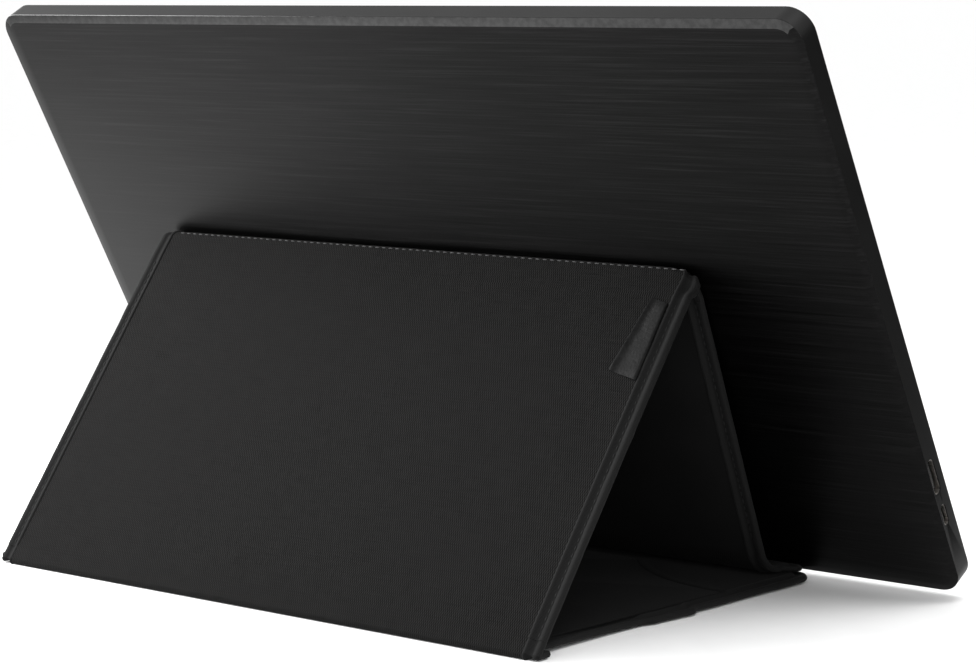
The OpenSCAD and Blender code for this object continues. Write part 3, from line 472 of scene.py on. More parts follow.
inner_finishes = {
    "clear_plastic": grained("clear_plastic", (0.70, 0.74, 0.76), (0.78, 0.82, 0.84), 0.02, (0.05, 0.12),
                             IOR=1.49, Transmission_Weight=0.5),
    "white_sheet": grained("white_sheet", grey(0.78), grey(0.86), 0.003, (0.5, 0.7)),
    "lamp_strip": grained("lamp_strip", (0.75, 0.70, 0.40), (0.85, 0.80, 0.50), 0.002, (0.3, 0.5)),
    "sheet_steel": grained("rolled_steel", grey(0.42), grey(0.52), 0.0015, (0.28, 0.42), 1.0,
                           stretch=(0.05, 1, 1)),
    "green_board": circuit("green_board", (0.008, 0.055, 0.030), (0.03, 0.14, 0.07)),
    "blue_board": circuit("blue_board", (0.006, 0.030, 0.060), (0.02, 0.09, 0.15)),
    "chip_plastic": grained("chip_plastic", grey(0.012), grey(0.022), 0.0004, (0.5, 0.7)),
    "flex": grained("amber_film", (0.42, 0.20, 0.03), (0.55, 0.28, 0.05), 0.004, (0.25, 0.4)),
    "ribbon": grained("white_ribbon", grey(0.62), grey(0.72), 0.001, (0.4, 0.55), stretch=(1, 0.1, 0.1)),
    "port_metal": grained("nickel_shell", grey(0.50, 0.06), grey(0.62, 0.06), 0.0008, (0.24, 0.38), 1.0,
                          stretch=(0.2, 1, 1)),
    "stiff_board": grained("pulp_board", (0.12, 0.105, 0.085), (0.17, 0.15, 0.12), 0.0012, (0.85, 0.95),
                           height=0.0001),
    "magnet": grained("plated_magnet", grey(0.48), grey(0.56), 0.002, (0.15, 0.25), 1.0),
}
stiff_board = inner_finishes["stiff_board"]
slot_of = {part["node"]: part["material_slot"] for part in frame["record"]["subparts"]}
for name, node in nodes_of.items():
    finish = glass.material if name == "lcd_glass" else inner_finishes.get(slot_of[name])
    if finish:
        node.data.materials.clear()
        node.data.materials.append(finish)

# %% [markdown]
# The housing and the back plate come from the measured model with sharp edges. Real mouldings and
# punched plates have none, and a render shows it at once, because a sharp edge catches no light. So a
# copy is welded, its flat faces are joined again, and a narrow bevel is put on every corner. The faces
# of the chamfer's top run are found by their slope against the plate, and get the lighter finish of the
# painted highlight.

# %% Housing, back plate and buttons
def softened_copy(node_name, name, width, segments=2, round_below=25):
    """A welded copy of a measured node with narrow bevels on its edges."""
    bpy.ops.object.select_all(action="DESELECT")
    piece = bpy.data.objects.new(name, nodes_of[node_name].data.copy())
    piece.data.name = name
    bpy.context.scene.collection.objects.link(piece)
    edit(piece, lambda: bpy.ops.mesh.remove_doubles(threshold=0.002 * mm),
         lambda: bpy.ops.mesh.dissolve_limited(angle_limit=math.radians(0.4)))
    shape(piece, "BEVEL", width=width, segments=segments, limit_method="ANGLE",
          angle_limit=math.radians(50), harden_normals=False)
    smooth(piece, round_below)
    return piece


monitor_lean = math.radians(28.4)
plate_normal = Vector((0, math.cos(monitor_lean), -math.sin(monitor_lean)))
chamfer_slopes = (5, 60)
top_run_above = -0.33

back_plate = softened_copy("rear_cover", "back_plate", 0.07 * mm, 1, round_below=12)
dress(back_plate, plate.material, "monitor", ["rear_cover"])
back_plate.data.materials.append(chamfer)
# faces of the chamfer's top run get the lighter finish, a painted highlight
for face in back_plate.data.polygons:
    slope = math.degrees(face.normal.angle(plate_normal))
    if chamfer_slopes[0] < slope < chamfer_slopes[1] and face.normal.z > top_run_above:
        face.material_index = 1

housing = softened_copy("front_housing", "housing_shell", 0.22 * mm)
dress(housing, plastic.material, "monitor", ["front_housing"])
for body in ("power_button", "brighter_button", "dimmer_button"):
    cap = softened_copy(body, body + "_cap", 0.25 * mm, 3)
    dress(cap, button_finish, body, [body])

# %% [markdown]
# Two sockets sit in the side wall. The measured model has their shells and tongues. What is missing
# is the row of contacts on each tongue: a thin gold strip, modelled once with rounded edges and then
# repeated along the tongue by an array.

# %% Contacts in the sockets
gold = grained("gold_contact", (0.55, 0.36, 0.10), (0.68, 0.46, 0.15), 0.001, (0.2, 0.32), 1.0)
monitor_y = -76.73 * mm
monitor_corner = Vector((0, monitor_y, 3.3195 * mm))
to_monitor = (-monitor_lean, monitor_corner)
contact_len, contact_t, contact_depth = 7 * mm, 0.12 * mm, 4.2 * mm


def contacts(name, tongue, count, height, pitch):
    """Gold strips on the outward side of a socket's tongue, along the side wall."""
    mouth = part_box(tongue)[0].x
    inside = Matrix.Rotation(monitor_lean, 4, "X") @ Matrix.Translation(-monitor_corner)
    corners = [inside @ v.co for v in nodes_of[tongue].data.vertices]
    middle = (min(c.z for c in corners) + max(c.z for c in corners)) / 2
    rear = max(c.y for c in corners)
    bpy.ops.object.select_all(action="DESELECT")
    bpy.ops.mesh.primitive_cube_add(size=1)
    strip = bpy.context.object
    strip.scale = (contact_len, contact_t, height)
    strip.location = (mouth + contact_depth, rear + contact_t / 4, middle - pitch * (count - 1) / 2)
    bpy.ops.object.transform_apply(location=True, rotation=True, scale=True)
    edit(strip, lambda: bpy.ops.mesh.bevel(offset=0.04 * mm, segments=1))
    shape(strip, "ARRAY", count=count, use_relative_offset=False, use_constant_offset=True,
          constant_offset_displace=(0, 0, pitch))
    return complete(strip, name, to_monitor, 35, gold, "monitor")


contacts("data_contacts", "data_port_tongue", 10, 0.42 * mm, 0.95 * mm)
contacts("power_contacts", "power_port_tongue", 6, 0.45 * mm, 0.95 * mm)

# %% [markdown]
# Now the cover. A tape folded round an edge is not a plain bead: it has a thick round nose at the
# edge, a groove where the seam pulls it down, and a thinner ridge at its inner border. The section
# below lists these as distances from the edge and heights over the board's face, in millimetres. One
# function closes it into a ring for any thickness, and the ring is drawn along straight sides and folds.

# %% The tape's section
tape_face = [(6.8, 0.00), (6.6, 0.28), (6.2, 0.46), (5.7, 0.46), (5.3, 0.12), (4.9, -0.46), (4.2, -0.84),
             (3.2, -0.88), (2.6, -0.56), (2.1, -0.22)]
nose_r, nose_drop = 1.3, 0.06
tape_inset = 5.8 * mm


def tape_section(half, under=None, width=1.0):
    """Points (inward, height) of the ring; under flattens everything below that height."""
    face = [(d * width, half + h) for d, h in tape_face]
    nose = []
    for k in range(9):
        a = math.radians(80 - 20 * k)
        nose.append((nose_r * width * (1 - math.cos(a)), (half - nose_drop) * math.sin(a)))
    ring = face + nose + [(d, -h) for d, h in reversed(face)]
    if under is not None:
        ring = [(d, max(h, under)) for d, h in ring]
    return [(d * mm, h * mm) for d, h in ring]


def at_side(section, side, half_width, y, middle, outer=1):
    """The ring at one side of a panel, ready to be drawn along y."""
    return [(side * (half_width - d), y, middle + outer * h) for d, h in section]


# %% [markdown]
# A seam is a row of small threads in the tape's groove. One stitch is a low stretched ball with
# few faces, and an array repeats it along the side. Its copies for the other sides have their own mesh.

# %% Stitches
thread_r = 0.24 * mm


def stitch_row(name, start, step, count, length, panel, body, finish):
    """Stitches from start, one step apart, each as long as given and lying along the step."""
    bpy.ops.object.select_all(action="DESELECT")
    bpy.ops.mesh.primitive_uv_sphere_add(segments=6, ring_count=4, radius=1)
    one = bpy.context.object
    along_x = abs(step[0]) > abs(step[1])
    one.scale = (length / 2, thread_r, thread_r) if along_x else (thread_r, length / 2, thread_r)
    bpy.ops.object.transform_apply(location=False, rotation=True, scale=True)
    one.location = start
    bpy.ops.object.transform_apply(location=True, rotation=True, scale=True)
    shape(one, "ARRAY", count=count, use_relative_offset=False, use_constant_offset=True,
          constant_offset_displace=step)
    return complete(one, name, panel, 60, finish, body)


# %% [markdown]
# The base lies on the table: a skin below, a thin stiff board, a lining on top and a tape round three
# sides. The tape turns two corners, so its ring is drawn up one side, spun round the corner, along the
# front, round again and back. The cover in the photograph is a used one: the right side of its base
# bulges near the front and has drawn in towards the rear fold. A short table says how far that side
# has moved at each distance from the fold, and all layers of the base are moved by it together.

# %% Base
overhang = 6.5 * mm
front_y = monitor_y - overhang - foot.y
base_corner = 7 * mm
base_rear = -3.1 * mm
tape_round = 60
base_edge = [(-165, -2.4), (-150, -2.2), (-135, -1.2), (-120, 0.0), (-100, 1.2), (-88.5, 2.4), (-86, 0.2),
             (-75, 2.2), (-65, 3.6), (-62, 5.4), (-50, 6.8), (-30, 8.0), (-8, 8.8), (1, 8.8)]
skew_from = 60 * mm
lift, lift_run = 0.8 * mm, (-70 * mm, -8 * mm)
corner_back, corner_run = 7 * mm, (130 * mm, 160 * mm)


def round_panel(name, half_width, front, rear, corner, section, middle):
    """Tape round both sides, both corners and the front of a panel."""
    side_run, half_run = front + corner - rear, half_width - corner
    ring = at_side(section, 1, half_width, rear, middle)
    steps = max(6, round(abs(side_run) / (2 * mm)))
    path = [
        ("go", (0, side_run, 0), steps),
        ("turn", (half_run, front + corner, 0), (0, 0, 1), -90, 12),
        ("go", (-2 * half_run, 0, 0), 60),
        ("turn", (-half_run, front + corner, 0), (0, 0, 1), -90, 12),
        ("go", (0, -side_run, 0), steps),
    ]
    piece = draw_along(name, ring, path)
    ruffle(piece, 0.10 * mm, 9 * mm)
    ruffle(piece, 0.05 * mm, 2.5 * mm, 7.0)
    return piece


def flat_cloth(name, size, heights, panel, finish, body, node, steps=12, change=None):
    """A layer across a panel: size is half its width and its two ends, change may move its points."""
    half_width, y0, y1 = size
    piece = draw_along(name, sheet_ring(half_width, 24, y0, *heights), [("go", (0, y1 - y0, 0), steps)])
    if change:
        change(piece)
    settle(piece, name, panel)
    return dress(piece, finish, body, [node])


def along_edge(y):
    """How far the right side is drawn in at a place along it."""
    y = min(max(y / mm, base_edge[0][0]), base_edge[-1][0])
    for (y0, d0), (y1, d1) in zip(base_edge, base_edge[1:]):
        if y <= y1:
            return (d0 + (d1 - d0) * (y - y0) / (y1 - y0)) * mm
    return base_edge[-1][1] * mm


def soft_step(value, start, stop):
    share = min(1, max(0, (value - start) / (stop - start)))
    return share * share * (3 - 2 * share)


def draw_in(piece):
    """Give the right side of a base layer the soft line of the used cover."""
    for vertex in piece.data.vertices:
        side = max(0, -vertex.co.x - skew_from) / (base_half - skew_from)
        y = vertex.co.y
        vertex.co.x += along_edge(y) * side ** 2
        vertex.co.z += lift * soft_step(y, *lift_run) * side ** 2
        vertex.co.y += corner_back * soft_step(side, 0.5, 1) * soft_step(-y, *corner_run)


base_tape = round_panel("base_tape", base_half, front_y, base_rear, base_corner, tape_section(1.25), base_t / 2)
draw_in(base_tape)
for vertex in base_tape.data.vertices:
    vertex.co.z = max(vertex.co.z, 0)
complete(base_tape, "base_tape", on_base, tape_round, tape.material, "base", ["base_binding"])

lining_face = base_t - 0.25 * mm
base_layers = [
    ("base_skin", -1.45 * mm, (0.02 * mm, cloth_t), skin_cloth, "woven_fabric", "base_outer_fabric"),
    ("base_top_lining", -4.6 * mm, (base_t - cloth_t, lining_face), lining.material, "lining", "base_lining"),
    ("base_stiffener", base_rear - 0.4 * mm, (1.2 * mm, 2.4 * mm), stiff_board, "stiff_board", "base_board"),
]
for name, rear, heights, finish, slot, node in base_layers:
    size = (base_half - tape_inset, front_y + tape_inset, rear)
    flat_cloth(name, size, heights, on_base, finish, "base", node, 40, draw_in)

# %% [markdown]
# On the base lies a flat pocket, cut from the lining cloth, with a curved mouth at one front corner and
# a narrow hem along that curve. The outline is a ring of points again, filled, raised by its thickness
# and rounded along its edge. The hem is a small section spun along the mouth.

# %% Pocket on the base
bend_local = bend.y - foot.y
pocket_half = base_half - 5.4 * mm
pocket_front, pocket_rear = bend_local + 3 * mm, -8 * mm
pocket_t, pocket_edge = 0.6 * mm, 0.15 * mm
mouth_r = 70 * mm
mouth = Vector((2 * mm - stand_half, bend_local - 40.5 * mm))
mouth_start = math.asin((pocket_front - mouth.y) / mouth_r)
mouth_stop = math.acos((-pocket_half - mouth.x) / mouth_r)
outline = [(-pocket_half, pocket_rear), (pocket_half, pocket_rear), (pocket_half, pocket_front)]
mouth_steps = 24
for k in range(mouth_steps + 1):
    a = mouth_start + (mouth_stop - mouth_start) * k / mouth_steps
    outline.append((mouth.x + mouth_r * math.cos(a), mouth.y + mouth_r * math.sin(a)))

bpy.ops.object.select_all(action="DESELECT")
bpy.ops.mesh.primitive_circle_add(vertices=len(outline), radius=mm, fill_type="NGON")
pocket = bpy.context.object
for vertex, (x, y) in zip(pocket.data.vertices, outline):
    vertex.co = (x, y, lining_face)
edit(pocket, lambda: bpy.ops.mesh.extrude_region_move(TRANSFORM_OT_translate={"value": (0, 0, pocket_t)}),
     lambda: bpy.ops.mesh.bevel(offset=pocket_edge, segments=2, affect="EDGES"),
     lambda: bpy.ops.mesh.select_all(action="SELECT"), outward)
draw_in(pocket)
complete(pocket, "pocket_cloth", on_base, 35, lining.material, "base", ["pocket_panel"])

hem_low = base_t + 0.2 * mm
hem_shape = [(-0.3, 0), (-0.3, 0.5), (0.4, 0.75), (1.4, 0.62), (2.6, 0.7), (3.2, 0.3), (3.2, 0)]
aim = Vector((math.cos(mouth_start), math.sin(mouth_start)))
hem_ring = [(mouth.x + aim.x * (mouth_r + d * mm), mouth.y + aim.y * (mouth_r + d * mm), hem_low + h * mm)
            for d, h in hem_shape]
hem_turn = math.degrees(mouth_stop - mouth_start)
hem = draw_along("pocket_hem", hem_ring, [("turn", (mouth.x, mouth.y, 0), (0, 0, 1), hem_turn, 36)])
draw_in(hem)
complete(hem, "pocket_hem", on_base, 50, lining.material, "base")

# %% [markdown]
# The rear panel is what the picture shows most: a wide field of woven skin with a tape down each side.
# Its skin stops ten millimetres before the top fold, where a separate piece goes on. A
# cloth glued to a board is never quite flat, so the skin's points are pushed a few hundredths. The
# strut has the same layers, so one function makes both panels: skin, lining, board, tapes and seams.

# %% A stiff panel of the cover
fold_run = 10 * mm
patch_x, patch_y, unevenness = 35 * mm, 28 * mm, 0.12 * mm
edge_fade, end_fade = 6 * mm, 10 * mm
stitch_pitch, stitch_len = 3.0 * mm, 2.3 * mm
groove, seam_depth = 3.4 * mm, 0.80 * mm
both_sides = ((1, "left"), (-1, "right"))


def skin_panel(name, half_width, y0, y1, outer, panel, rows):
    """Woven skin with enough points to take a soft unevenness."""
    ring = sheet_ring(half_width, 60, y0, outer, outer + cloth_t)
    piece = draw_along(name, ring, [("go", (0, y1 - y0, 0), rows)])
    for vertex in piece.data.vertices:
        x, y, z = vertex.co
        if abs(z - outer) < 0.01 * mm:
            rise_here = noise.noise(Vector((x / patch_x, y / patch_y, 4.0)))
            edge = min(1, (half_width - abs(x)) / edge_fade)
            ends = min(1, (y - y0) / end_fade, (y1 - y) / end_fade)
            vertex.co.z -= unevenness * rise_here * max(0, edge) * max(0, ends)
    settle(piece, name, panel)
    smooth(piece)
    return piece


def side_tape(name, side, half_width, y0, y1, middle, panel, body, replaces=(), spread=0.0):
    """Tape along one straight side of a panel, with the unevenness of a sewn tape."""
    ring = at_side(tape_section(panel_t / mm / 2), side, half_width, y0, middle)
    piece = draw_along(name, ring, [("go", (0, y1 - y0, 0), round((y1 - y0) / (2.5 * mm)))])
    for vertex in piece.data.vertices:
        share = (vertex.co.y - y0) / (y1 - y0)
        vertex.co.x += side * spread * share * share
    ruffle(piece, 0.10 * mm, 9 * mm, 3.0 * side)
    ruffle(piece, 0.06 * mm, 2.2 * mm, 5.0 * side)
    return complete(piece, name, panel, tape_round, tape.material, body, replaces)


def stiff_panel(word, body, panel, half_width, outer, tape_run, skin_start, lining_start, board_run, rows,
                stitches, spread=0.0):
    """All layers of one panel; outer is the height of its outer face."""
    half, inner, (start, stop) = half_width - tape_inset, outer + panel_t, tape_run
    skin = skin_panel(f"{word}_skin", half, skin_start, stop, outer, panel, rows)
    dress(skin, skin_cloth, body, [f"{word}_outer_fabric"])
    flat_cloth(f"{word}_inside", (half, lining_start, stop), (inner - cloth_t, inner), panel,
               lining.material, body, f"{word}_lining")
    flat_cloth(f"{word}_stiffener", (half, *board_run), (outer + cloth_t, inner - cloth_t), panel,
               stiff_board, body, f"{word}_board")
    for side, side_word in both_sides:
        stood_for, spread_here = ([f"{word}_bindings"], 0.0) if side > 0 else ((), spread)
        side_tape(f"{word}_tape_{side_word}", side, half_width, start, stop, outer + panel_t / 2, panel, body,
                  stood_for, spread_here)
    for side, side_word in both_sides:
        for face_z, place in ((outer + seam_depth, "outside"), (inner - seam_depth, "inside")):
            first = (side * (half_width - groove), start + 2 * mm, face_z)
            stitch_row(f"{word}_seam_{side_word}_{place}", first, (0, stitch_pitch, 0), stitches, stitch_len,
                       panel, body, thread)


# %% Rear panel
outer_face = -foot_r
back_mid = panel_t / 2 - foot_r
back_stop = back_end - fold_run
top_spread = 1.0 * mm
stiff_panel("back", "rear_panel", on_back, stand_half, outer_face, tape_run=(5.5 * mm, back_stop),
            skin_start=5.6 * mm, lining_start=8.5 * mm, board_run=(5 * mm, back_stop + 1 * mm), rows=46,
            stitches=44, spread=top_spread)

# %% [markdown]
# At the top the cloth turns round a soft roll and goes down the other side. On the cover that place
# bends when it opens; here it is drawn as a strip of its own: ten millimetres up, round the roll, and ten
# millimetres down, lying along the rear panel at one end and along the strut at the other. The tape on
# both sides makes the same turn with a thinner section, because its inner half would fold into itself.
# The roll ends twelve millimetres before the sides, and there the fold sinks, mostly at the right.

# %% Top fold
apex_z = apex_r - foot_r
x_axis = (1, 0, 0)
top_steps = 26
top_columns = 40
down_dir = Vector((0, math.cos(math.radians(top_turn)), math.sin(math.radians(top_turn))))
top_path = [
    ("go", (0, fold_run, 0), 5),
    ("turn", (0, back_end, apex_z), x_axis, top_turn, top_steps),
    ("go", tuple(down_dir * fold_run), 5),
]
droop, left_droop, droop_reach, droop_core = 3.4 * mm, 0.6 * mm, 14 * mm, 3 * mm
world_down = Vector((0, -math.sin(back_angle), -math.cos(back_angle)))


def bend_over_top(piece):
    """Keep the piece's place in its mesh."""
    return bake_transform(piece)


def narrow_to_strut(piece, start_half, end_half):
    """Bring the sides of the top fold in, because the strut is narrower than the rear panel."""
    for vertex in piece.data.vertices:
        past = Vector((0, vertex.co.y - back_end, vertex.co.z - apex_z))
        turned = (math.degrees(math.atan2(past.y, -past.z)) + 90) % 360 - 90
        shift = (start_half - end_half) * soft_step(turned, 0, top_turn)
        vertex.co.x -= math.copysign(min(shift, abs(vertex.co.x)), vertex.co.x)


def sink_ends(piece):
    """Let the fold sink towards its ends, where no roll fills it."""
    for vertex in piece.data.vertices:
        end = max(0, abs(vertex.co.x) - (stand_half - droop_reach)) / droop_reach
        away = math.hypot(vertex.co.y - back_end, vertex.co.z - apex_z)
        share = min(1, end) ** 2 * (1 - soft_step(away, droop_core, fold_run))
        vertex.co += world_down * share * (droop if vertex.co.x < 0 else left_droop)


top_half = stand_half - tape_inset
top_ring = sheet_ring(top_half, top_columns, back_stop, outer_face, outer_face + cloth_t)
top_skin = draw_along("top_fold_skin", top_ring, top_path)
sink_ends(top_skin)
complete(top_skin, "top_fold_skin", on_back, 35, skin_cloth, None)
bend_over_top(top_skin)

roll_r, roll_gap = 2.5 * mm, 12 * mm
bpy.ops.object.select_all(action="DESELECT")
bpy.ops.mesh.primitive_cylinder_add(vertices=24, radius=roll_r, depth=2 * (stand_half - roll_gap),
                                    location=(0, back_end, apex_z), rotation=(0, math.radians(90), 0))
roll = bpy.context.object
edit(roll, lambda: bpy.ops.mesh.bevel(offset=0.5 * mm, segments=2, affect="EDGES"))
complete(roll, "top_fold_roll", on_back, 35, lining.material, "rear_panel", ["apex_fold"])

for side, word in both_sides:
    ring = at_side(tape_section(panel_t / mm / 2, -1.0), side, stand_half, back_stop, back_mid, -1)
    piece = draw_along(f"top_tape_{word}", ring, top_path)
    extra = top_spread if side < 0 else 0
    for vertex in piece.data.vertices:
        vertex.co.x += side * extra
    narrow_to_strut(piece, stand_half + extra, strut_half)
    sink_ends(piece)
    ruffle(piece, 0.08 * mm, 5 * mm, 2.0 * side)
    complete(piece, f"top_tape_{word}", on_back, tape_round, tape.material, None)
    bend_over_top(piece)

# %% [markdown]
# Just below the roll a row of paler stitches holds the two layers together across the whole width.

# %% Stitches along the top
top_pitch, top_stitch = 3.4 * mm, 2.2 * mm
top_row_half = top_half - 1 * mm
row_turn = math.radians(26)
row_start = (-top_row_half, back_end + math.sin(row_turn) * apex_r, apex_z - math.cos(row_turn) * apex_r)
top_stitches = stitch_row("top_seam", row_start, (top_pitch, 0, 0), int(2 * top_row_half / top_pitch),
                          top_stitch, on_back, None, top_seam_light_grey)
bend_over_top(top_stitches)

# %% [markdown]
# The strut is made as the rear panel is, in its own frame. Near the table the cover runs out of the
# strut into the lip in a soft curve, with no board inside. That curve is a strip of its own again: a
# full thickness of cloth with tape at both sides, spun round a centre in front of the fold.

# %% Strut
strut_outer = -apex_r
strut_mid = panel_t / 2 - apex_r
curve_r = 12.5 * mm
curve_run = curve_r * math.tan(math.radians(front_turn) / 2)
strut_stop = strut_end - curve_run
stiff_panel("strut", "strut", on_strut, strut_half, strut_outer, tape_run=(fold_run, strut_stop),
            skin_start=fold_run, lining_start=6 * mm, board_run=(4 * mm, strut_stop - 1 * mm), rows=36,
            stitches=33)

# %% Front curve
curve_path = [("turn", (0, strut_stop, strut_mid - curve_r), x_axis, -front_turn, 18)]


def bend_over_front(piece):
    """Keep the piece's place in its mesh."""
    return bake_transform(piece)


curve_ring = sheet_ring(strut_half - tape_inset, top_columns, strut_stop, strut_outer, strut_outer + panel_t)
front_curve = draw_along("front_curve", curve_ring, curve_path)
complete(front_curve, "front_curve", on_strut, 35, skin_cloth, None, ["bend_fold"])
bend_over_front(front_curve)
for side, word in both_sides:
    ring = at_side(tape_section(panel_t / mm / 2), side, strut_half, strut_stop, strut_mid)
    piece = draw_along(f"front_tape_{word}", ring, curve_path)
    ruffle(piece, 0.05 * mm, 4 * mm, 2.0 * side)
    complete(piece, f"front_tape_{word}", on_strut, tape_round, tape.material, None)
    bend_over_front(piece)

# %% [markdown]
# The lip is a short flap that the magnets hold on the base. It is made as the base is, smaller: a tape
# round three sides with tight corners, skin on top and lining below. It is wider than the strut, so
# all its layers flare out over the first few millimetres after the curve.

# %% Lip
lip_front = monitor_y + 2.0 * mm - bend.y
lip_corner = 4.0 * mm
lip_rear = -curve_run
lip_inset = 4.2 * mm
flare_run = 5.5 * mm


def flare(piece):
    """Widen the lip from the strut's width to its own."""
    for vertex in piece.data.vertices:
        share = soft_step(lip_rear - vertex.co.y, 0, flare_run)
        vertex.co.x *= (strut_half + (lip_half - strut_half) * share) / lip_half


lip_section = tape_section(1.1, None, 0.75)
lip_tape = round_panel("lip_tape", lip_half, lip_front, lip_rear, lip_corner, lip_section, panel_t / 2)
flare(lip_tape)
complete(lip_tape, "lip_tape", on_lip, tape_round, tape.material, "lip", ["lip_binding"])
lip_layers = [
    ("lip_skin", 0, (panel_t - cloth_t, panel_t), skin_cloth, "woven_fabric", "lip_outer_fabric"),
    ("lip_inside", 0, (0, cloth_t), lining.material, "lining", "lip_lining"),
    ("lip_stiffener", 0.5 * mm, (1.0 * mm, 1.8 * mm), stiff_board, "stiff_board", "lip_board"),
]
for name, gap, heights, finish, slot, node in lip_layers:
    size = (lip_half - lip_inset, lip_front + lip_inset, lip_rear - gap)
    flat_cloth(name, size, heights, on_lip, finish, "lip", node, 6, flare)

# %% [markdown]
# At the back the skin runs from below the base round a tight fold and up the rear panel. Inside, a strip
# of lining closes the crease. Both are drawn as bent strips that lie along the base at one end and along
# the rear panel at the other. At each side a thin tape closes the fold.

# %% Rear fold
foot_run = 5.6 * mm
foot_half = stand_half - tape_inset
back_dir = Vector((0, math.cos(back_angle), math.sin(back_angle)))
foot_path = [
    ("go", (0, foot_run, 0), 4),
    ("turn", (0, 0, foot_r), x_axis, foot_turn, 22),
    ("go", tuple(back_dir * foot_run), 4),
]


def bend_at_foot(piece):
    """Keep the piece's place in its mesh."""
    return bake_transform(piece)


foot_skin = draw_along("rear_fold_skin", sheet_ring(foot_half, top_columns, -foot_run, 0, cloth_t), foot_path)
complete(foot_skin, "rear_fold_skin", on_base, 35, skin_cloth, None, ["foot_fold"])
bend_at_foot(foot_skin)

crease_r, crease_run, crease_y = 1.0 * mm, 3.6 * mm, -5.1 * mm
crease_low, crease_high = base_t - 0.75 * mm, base_t - 0.2 * mm
crease_ring = sheet_ring(foot_half, top_columns, crease_y - crease_run, crease_low, crease_high)
crease_path = [
    ("go", (0, crease_run, 0), 3),
    ("turn", (0, crease_y, crease_high + crease_r), x_axis, foot_turn, 16),
    ("go", tuple(back_dir * crease_run), 3),
]
crease = draw_along("rear_fold_lining", crease_ring, crease_path)
complete(crease, "rear_fold_lining", on_base, 35, lining.material, None)
bend_at_foot(crease)

for side, word in both_sides:
    ring = at_side(tape_section(foot_r / mm - 0.25, -1.2), side, stand_half, -foot_run, foot_r, -1)
    piece = draw_along(f"rear_fold_tape_{word}", ring, foot_path)
    complete(piece, f"rear_fold_tape_{word}", on_base, tape_round, tape.material, None)
    bend_at_foot(piece)

# %% [markdown]
# A small leather tab is sewn in under the tape at one side. It is a strip folded over into a flat loop,
# wider at its lower end, with a soft swelling in the middle. The loop's section is drawn along the tab
# and each ring of points is then set to the tab's width at its place.

# %% Leather tab
tab_low, tab_len = back_end - 44.49 * mm, 31.3 * mm
tab_wide, tab_narrow = 13.2 * mm, 7.8 * mm
tab_rise_low, tab_fall_high = 3.0 * mm, 2.2 * mm
tab_root = -stand_half + 6.2 * mm
tab_trim, pressed_end, pressed_to = 0.2 * mm, 0.06, 0.72
tab_section = [(0.0, 0.05), (0.30, 0.05), (0.70, 0.05), (0.92, 0.05)]
loop_steps = 9
for k in range(loop_steps):
    a = math.radians(-90 + 180 * (k + 0.5) / loop_steps)
    tab_section.append((0.95 + 0.05 * math.cos(a), 0.55 + 0.50 * math.sin(a)))
tab_section += [(0.91, 0.90), (0.86, 0.62), (0.78, 0.42), (0.68, 0.42), (0.54, 0.58), (0.36, 0.78),
                (0.20, 0.94), (0.08, 1.04), (0.02, 1.00), (0.0, 0.70)]
ring = [(tab_root + d * tab_wide, 0, outer_face - h * mm) for d, h in tab_section]
tab = draw_along("leather_loop", ring, [("go", (0, tab_len, 0), 22)])
for vertex in tab.data.vertices:
    up = vertex.co.y / tab_len
    across = (vertex.co.x - tab_root) / tab_wide
    vertex.co.x = tab_root + across * (tab_wide - tab_trim + (tab_narrow - tab_wide) * up)
    vertex.co.y = tab_low + tab_rise_low * across * (1 - up) + up * (tab_len + tab_fall_high * across)
    end = min(up, 1 - up) / pressed_end
    if end < 1:
        swell = pressed_to + (1 - pressed_to) * math.sqrt(max(0, end))
        vertex.co.z = outer_face + (vertex.co.z - outer_face) * swell
ruffle(tab, 0.12 * mm, 4 * mm, 1.0)
complete(tab, "leather_loop", on_back, tape_round, leather.material, "rear_panel", ["leather_tab"])

# %% [markdown]
# The set is a wide pale floor under an even bright sky. A small soft light stands low at the left, a
# wide one behind it, a weak one fills from the right, and one above the floor keeps it white. The dark
# plate shows the floor as a soft grey that fades where the stand is in the way. A dark flag and a grey
# card show only in reflections: they keep the right side wall as dark as in the photograph.

# %% Floor and light
def set_sheet(name, place, width, depth, finish, turn=(0, 0, 0), seen=True):
    """A flat sheet of the set; one that isn't seen shows only in reflections."""
    bpy.ops.object.select_all(action="DESELECT")
    bpy.ops.mesh.primitive_plane_add(size=1, location=place, rotation=turn)
    sheet = bpy.context.object
    sheet.name = sheet.data.name = name
    sheet.scale = (width, depth, 1)
    bpy.ops.object.transform_apply(location=False, rotation=False, scale=True)
    sheet.data.materials.append(finish)
    if not seen:
        sheet.visible_camera = sheet.visible_diffuse = sheet.visible_shadow = False


def soft_light(name, place, target, size, power):
    """A square soft light that looks at a point."""
    data = bpy.data.lights.new(name, "AREA")
    data.shape, data.size, data.energy = "SQUARE", size, power
    light = bpy.data.objects.new(name, data)
    bpy.context.scene.collection.objects.link(light)
    light.location = place
    light.rotation_mode = "QUATERNION"
    light.rotation_quaternion = (Vector(target) - Vector(place)).to_track_quat("-Z", "Y")
    print(name, power, "W")


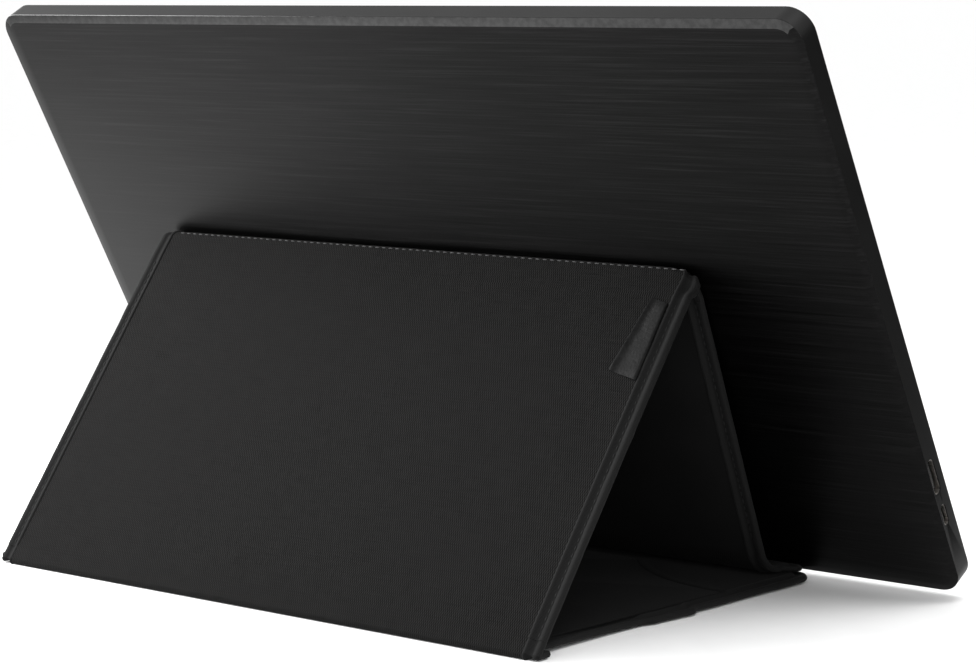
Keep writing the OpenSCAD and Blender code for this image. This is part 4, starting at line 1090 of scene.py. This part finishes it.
pale_floor = grained("pale_floor", grey(0.91), grey(0.93), 1 / 60, (0.85, 0.95), height=0, detail=2, IOR=1.3)
flag_cloth = grained("flag_cloth", grey(0.010), grey(0.015), 1 / 400, (0.5, 0.5), height=0, detail=2,
                     Specular_IOR_Level=0.1)
card_paper = grained("card_paper", grey(0.20), grey(0.24), 1 / 300, (0.5, 0.5), height=0, detail=2,
                     Specular_IOR_Level=0.1)
set_sheet("floor", (0, 0, 0), 90, 90, pale_floor)
set_sheet("dark_flag", (-0.55, -0.50, 0.22), 0.9, 0.44, flag_cloth,
          (math.radians(90), 0, math.radians(-40)), seen=False)
set_sheet("floor_card", (-0.74, -0.42, 0.001), 1.0, 1.6, card_paper, seen=False)

world = bpy.data.worlds.new("studio")
bpy.context.scene.world = world
world.use_nodes = True
sky = world.node_tree.nodes["Background"].inputs
sky["Color"].default_value, sky["Strength"].default_value = (1, 1, 1, 1), 1.08

soft_light("left_light", (0.43, 0.16, 0.36), (0.05, 0.06, 0.08), 0.22, 3.8)
soft_light("wide_light", (0.85, 0.95, 0.35), (0, 0, 0.2), 0.7, 6)
soft_light("right_fill", (-1.0, 1.0, 1.2), (-0.1, 0.1, 0), 1.0, 2)
soft_light("floor_light", (-0.42, 0.06, 0.75), (-0.30, 0.10, 0), 0.3, 2.5)

# %% [markdown]
# The camera stands where the photograph was taken from, found by solving it from the monitor's straight
# edges: a long lens, low behind the object and to its left side as one faces the screen.

# %% Camera
picture_width = 976
focal_pixels = 2789.3856
camera_place = Vector((-0.6787835, 0.7957781, 0.2278427))
yaw, pitch, roll_turn = 0.6807537, 0.1299638, -0.0084774
look = Vector((math.sin(yaw) * math.cos(pitch), -math.cos(yaw) * math.cos(pitch), -math.sin(pitch)))
level = look.cross(Vector((0, 0, 1))).normalized()
upward = level.cross(look)
right = level * math.cos(roll_turn) + upward * math.sin(roll_turn)
upright = upward * math.cos(roll_turn) - level * math.sin(roll_turn)
camera_data = bpy.data.cameras.new("camera")
camera_data.sensor_width = 36
camera_data.lens = focal_pixels * camera_data.sensor_width / picture_width
camera_data.clip_start, camera_data.clip_end = 0.01, 50
camera = bpy.data.objects.new("camera", camera_data)
bpy.context.scene.collection.objects.link(camera)
camera.matrix_world = Matrix((
    (right.x, upright.x, -look.x, camera_place.x),
    (right.y, upright.y, -look.y, camera_place.y),
    (right.z, upright.z, -look.z, camera_place.z),
    (0, 0, 0, 1),
))
bpy.context.scene.camera = camera
bpy.context.scene.view_settings.view_transform = "Standard"
print("lens", round(camera_data.lens, 2), "mm")
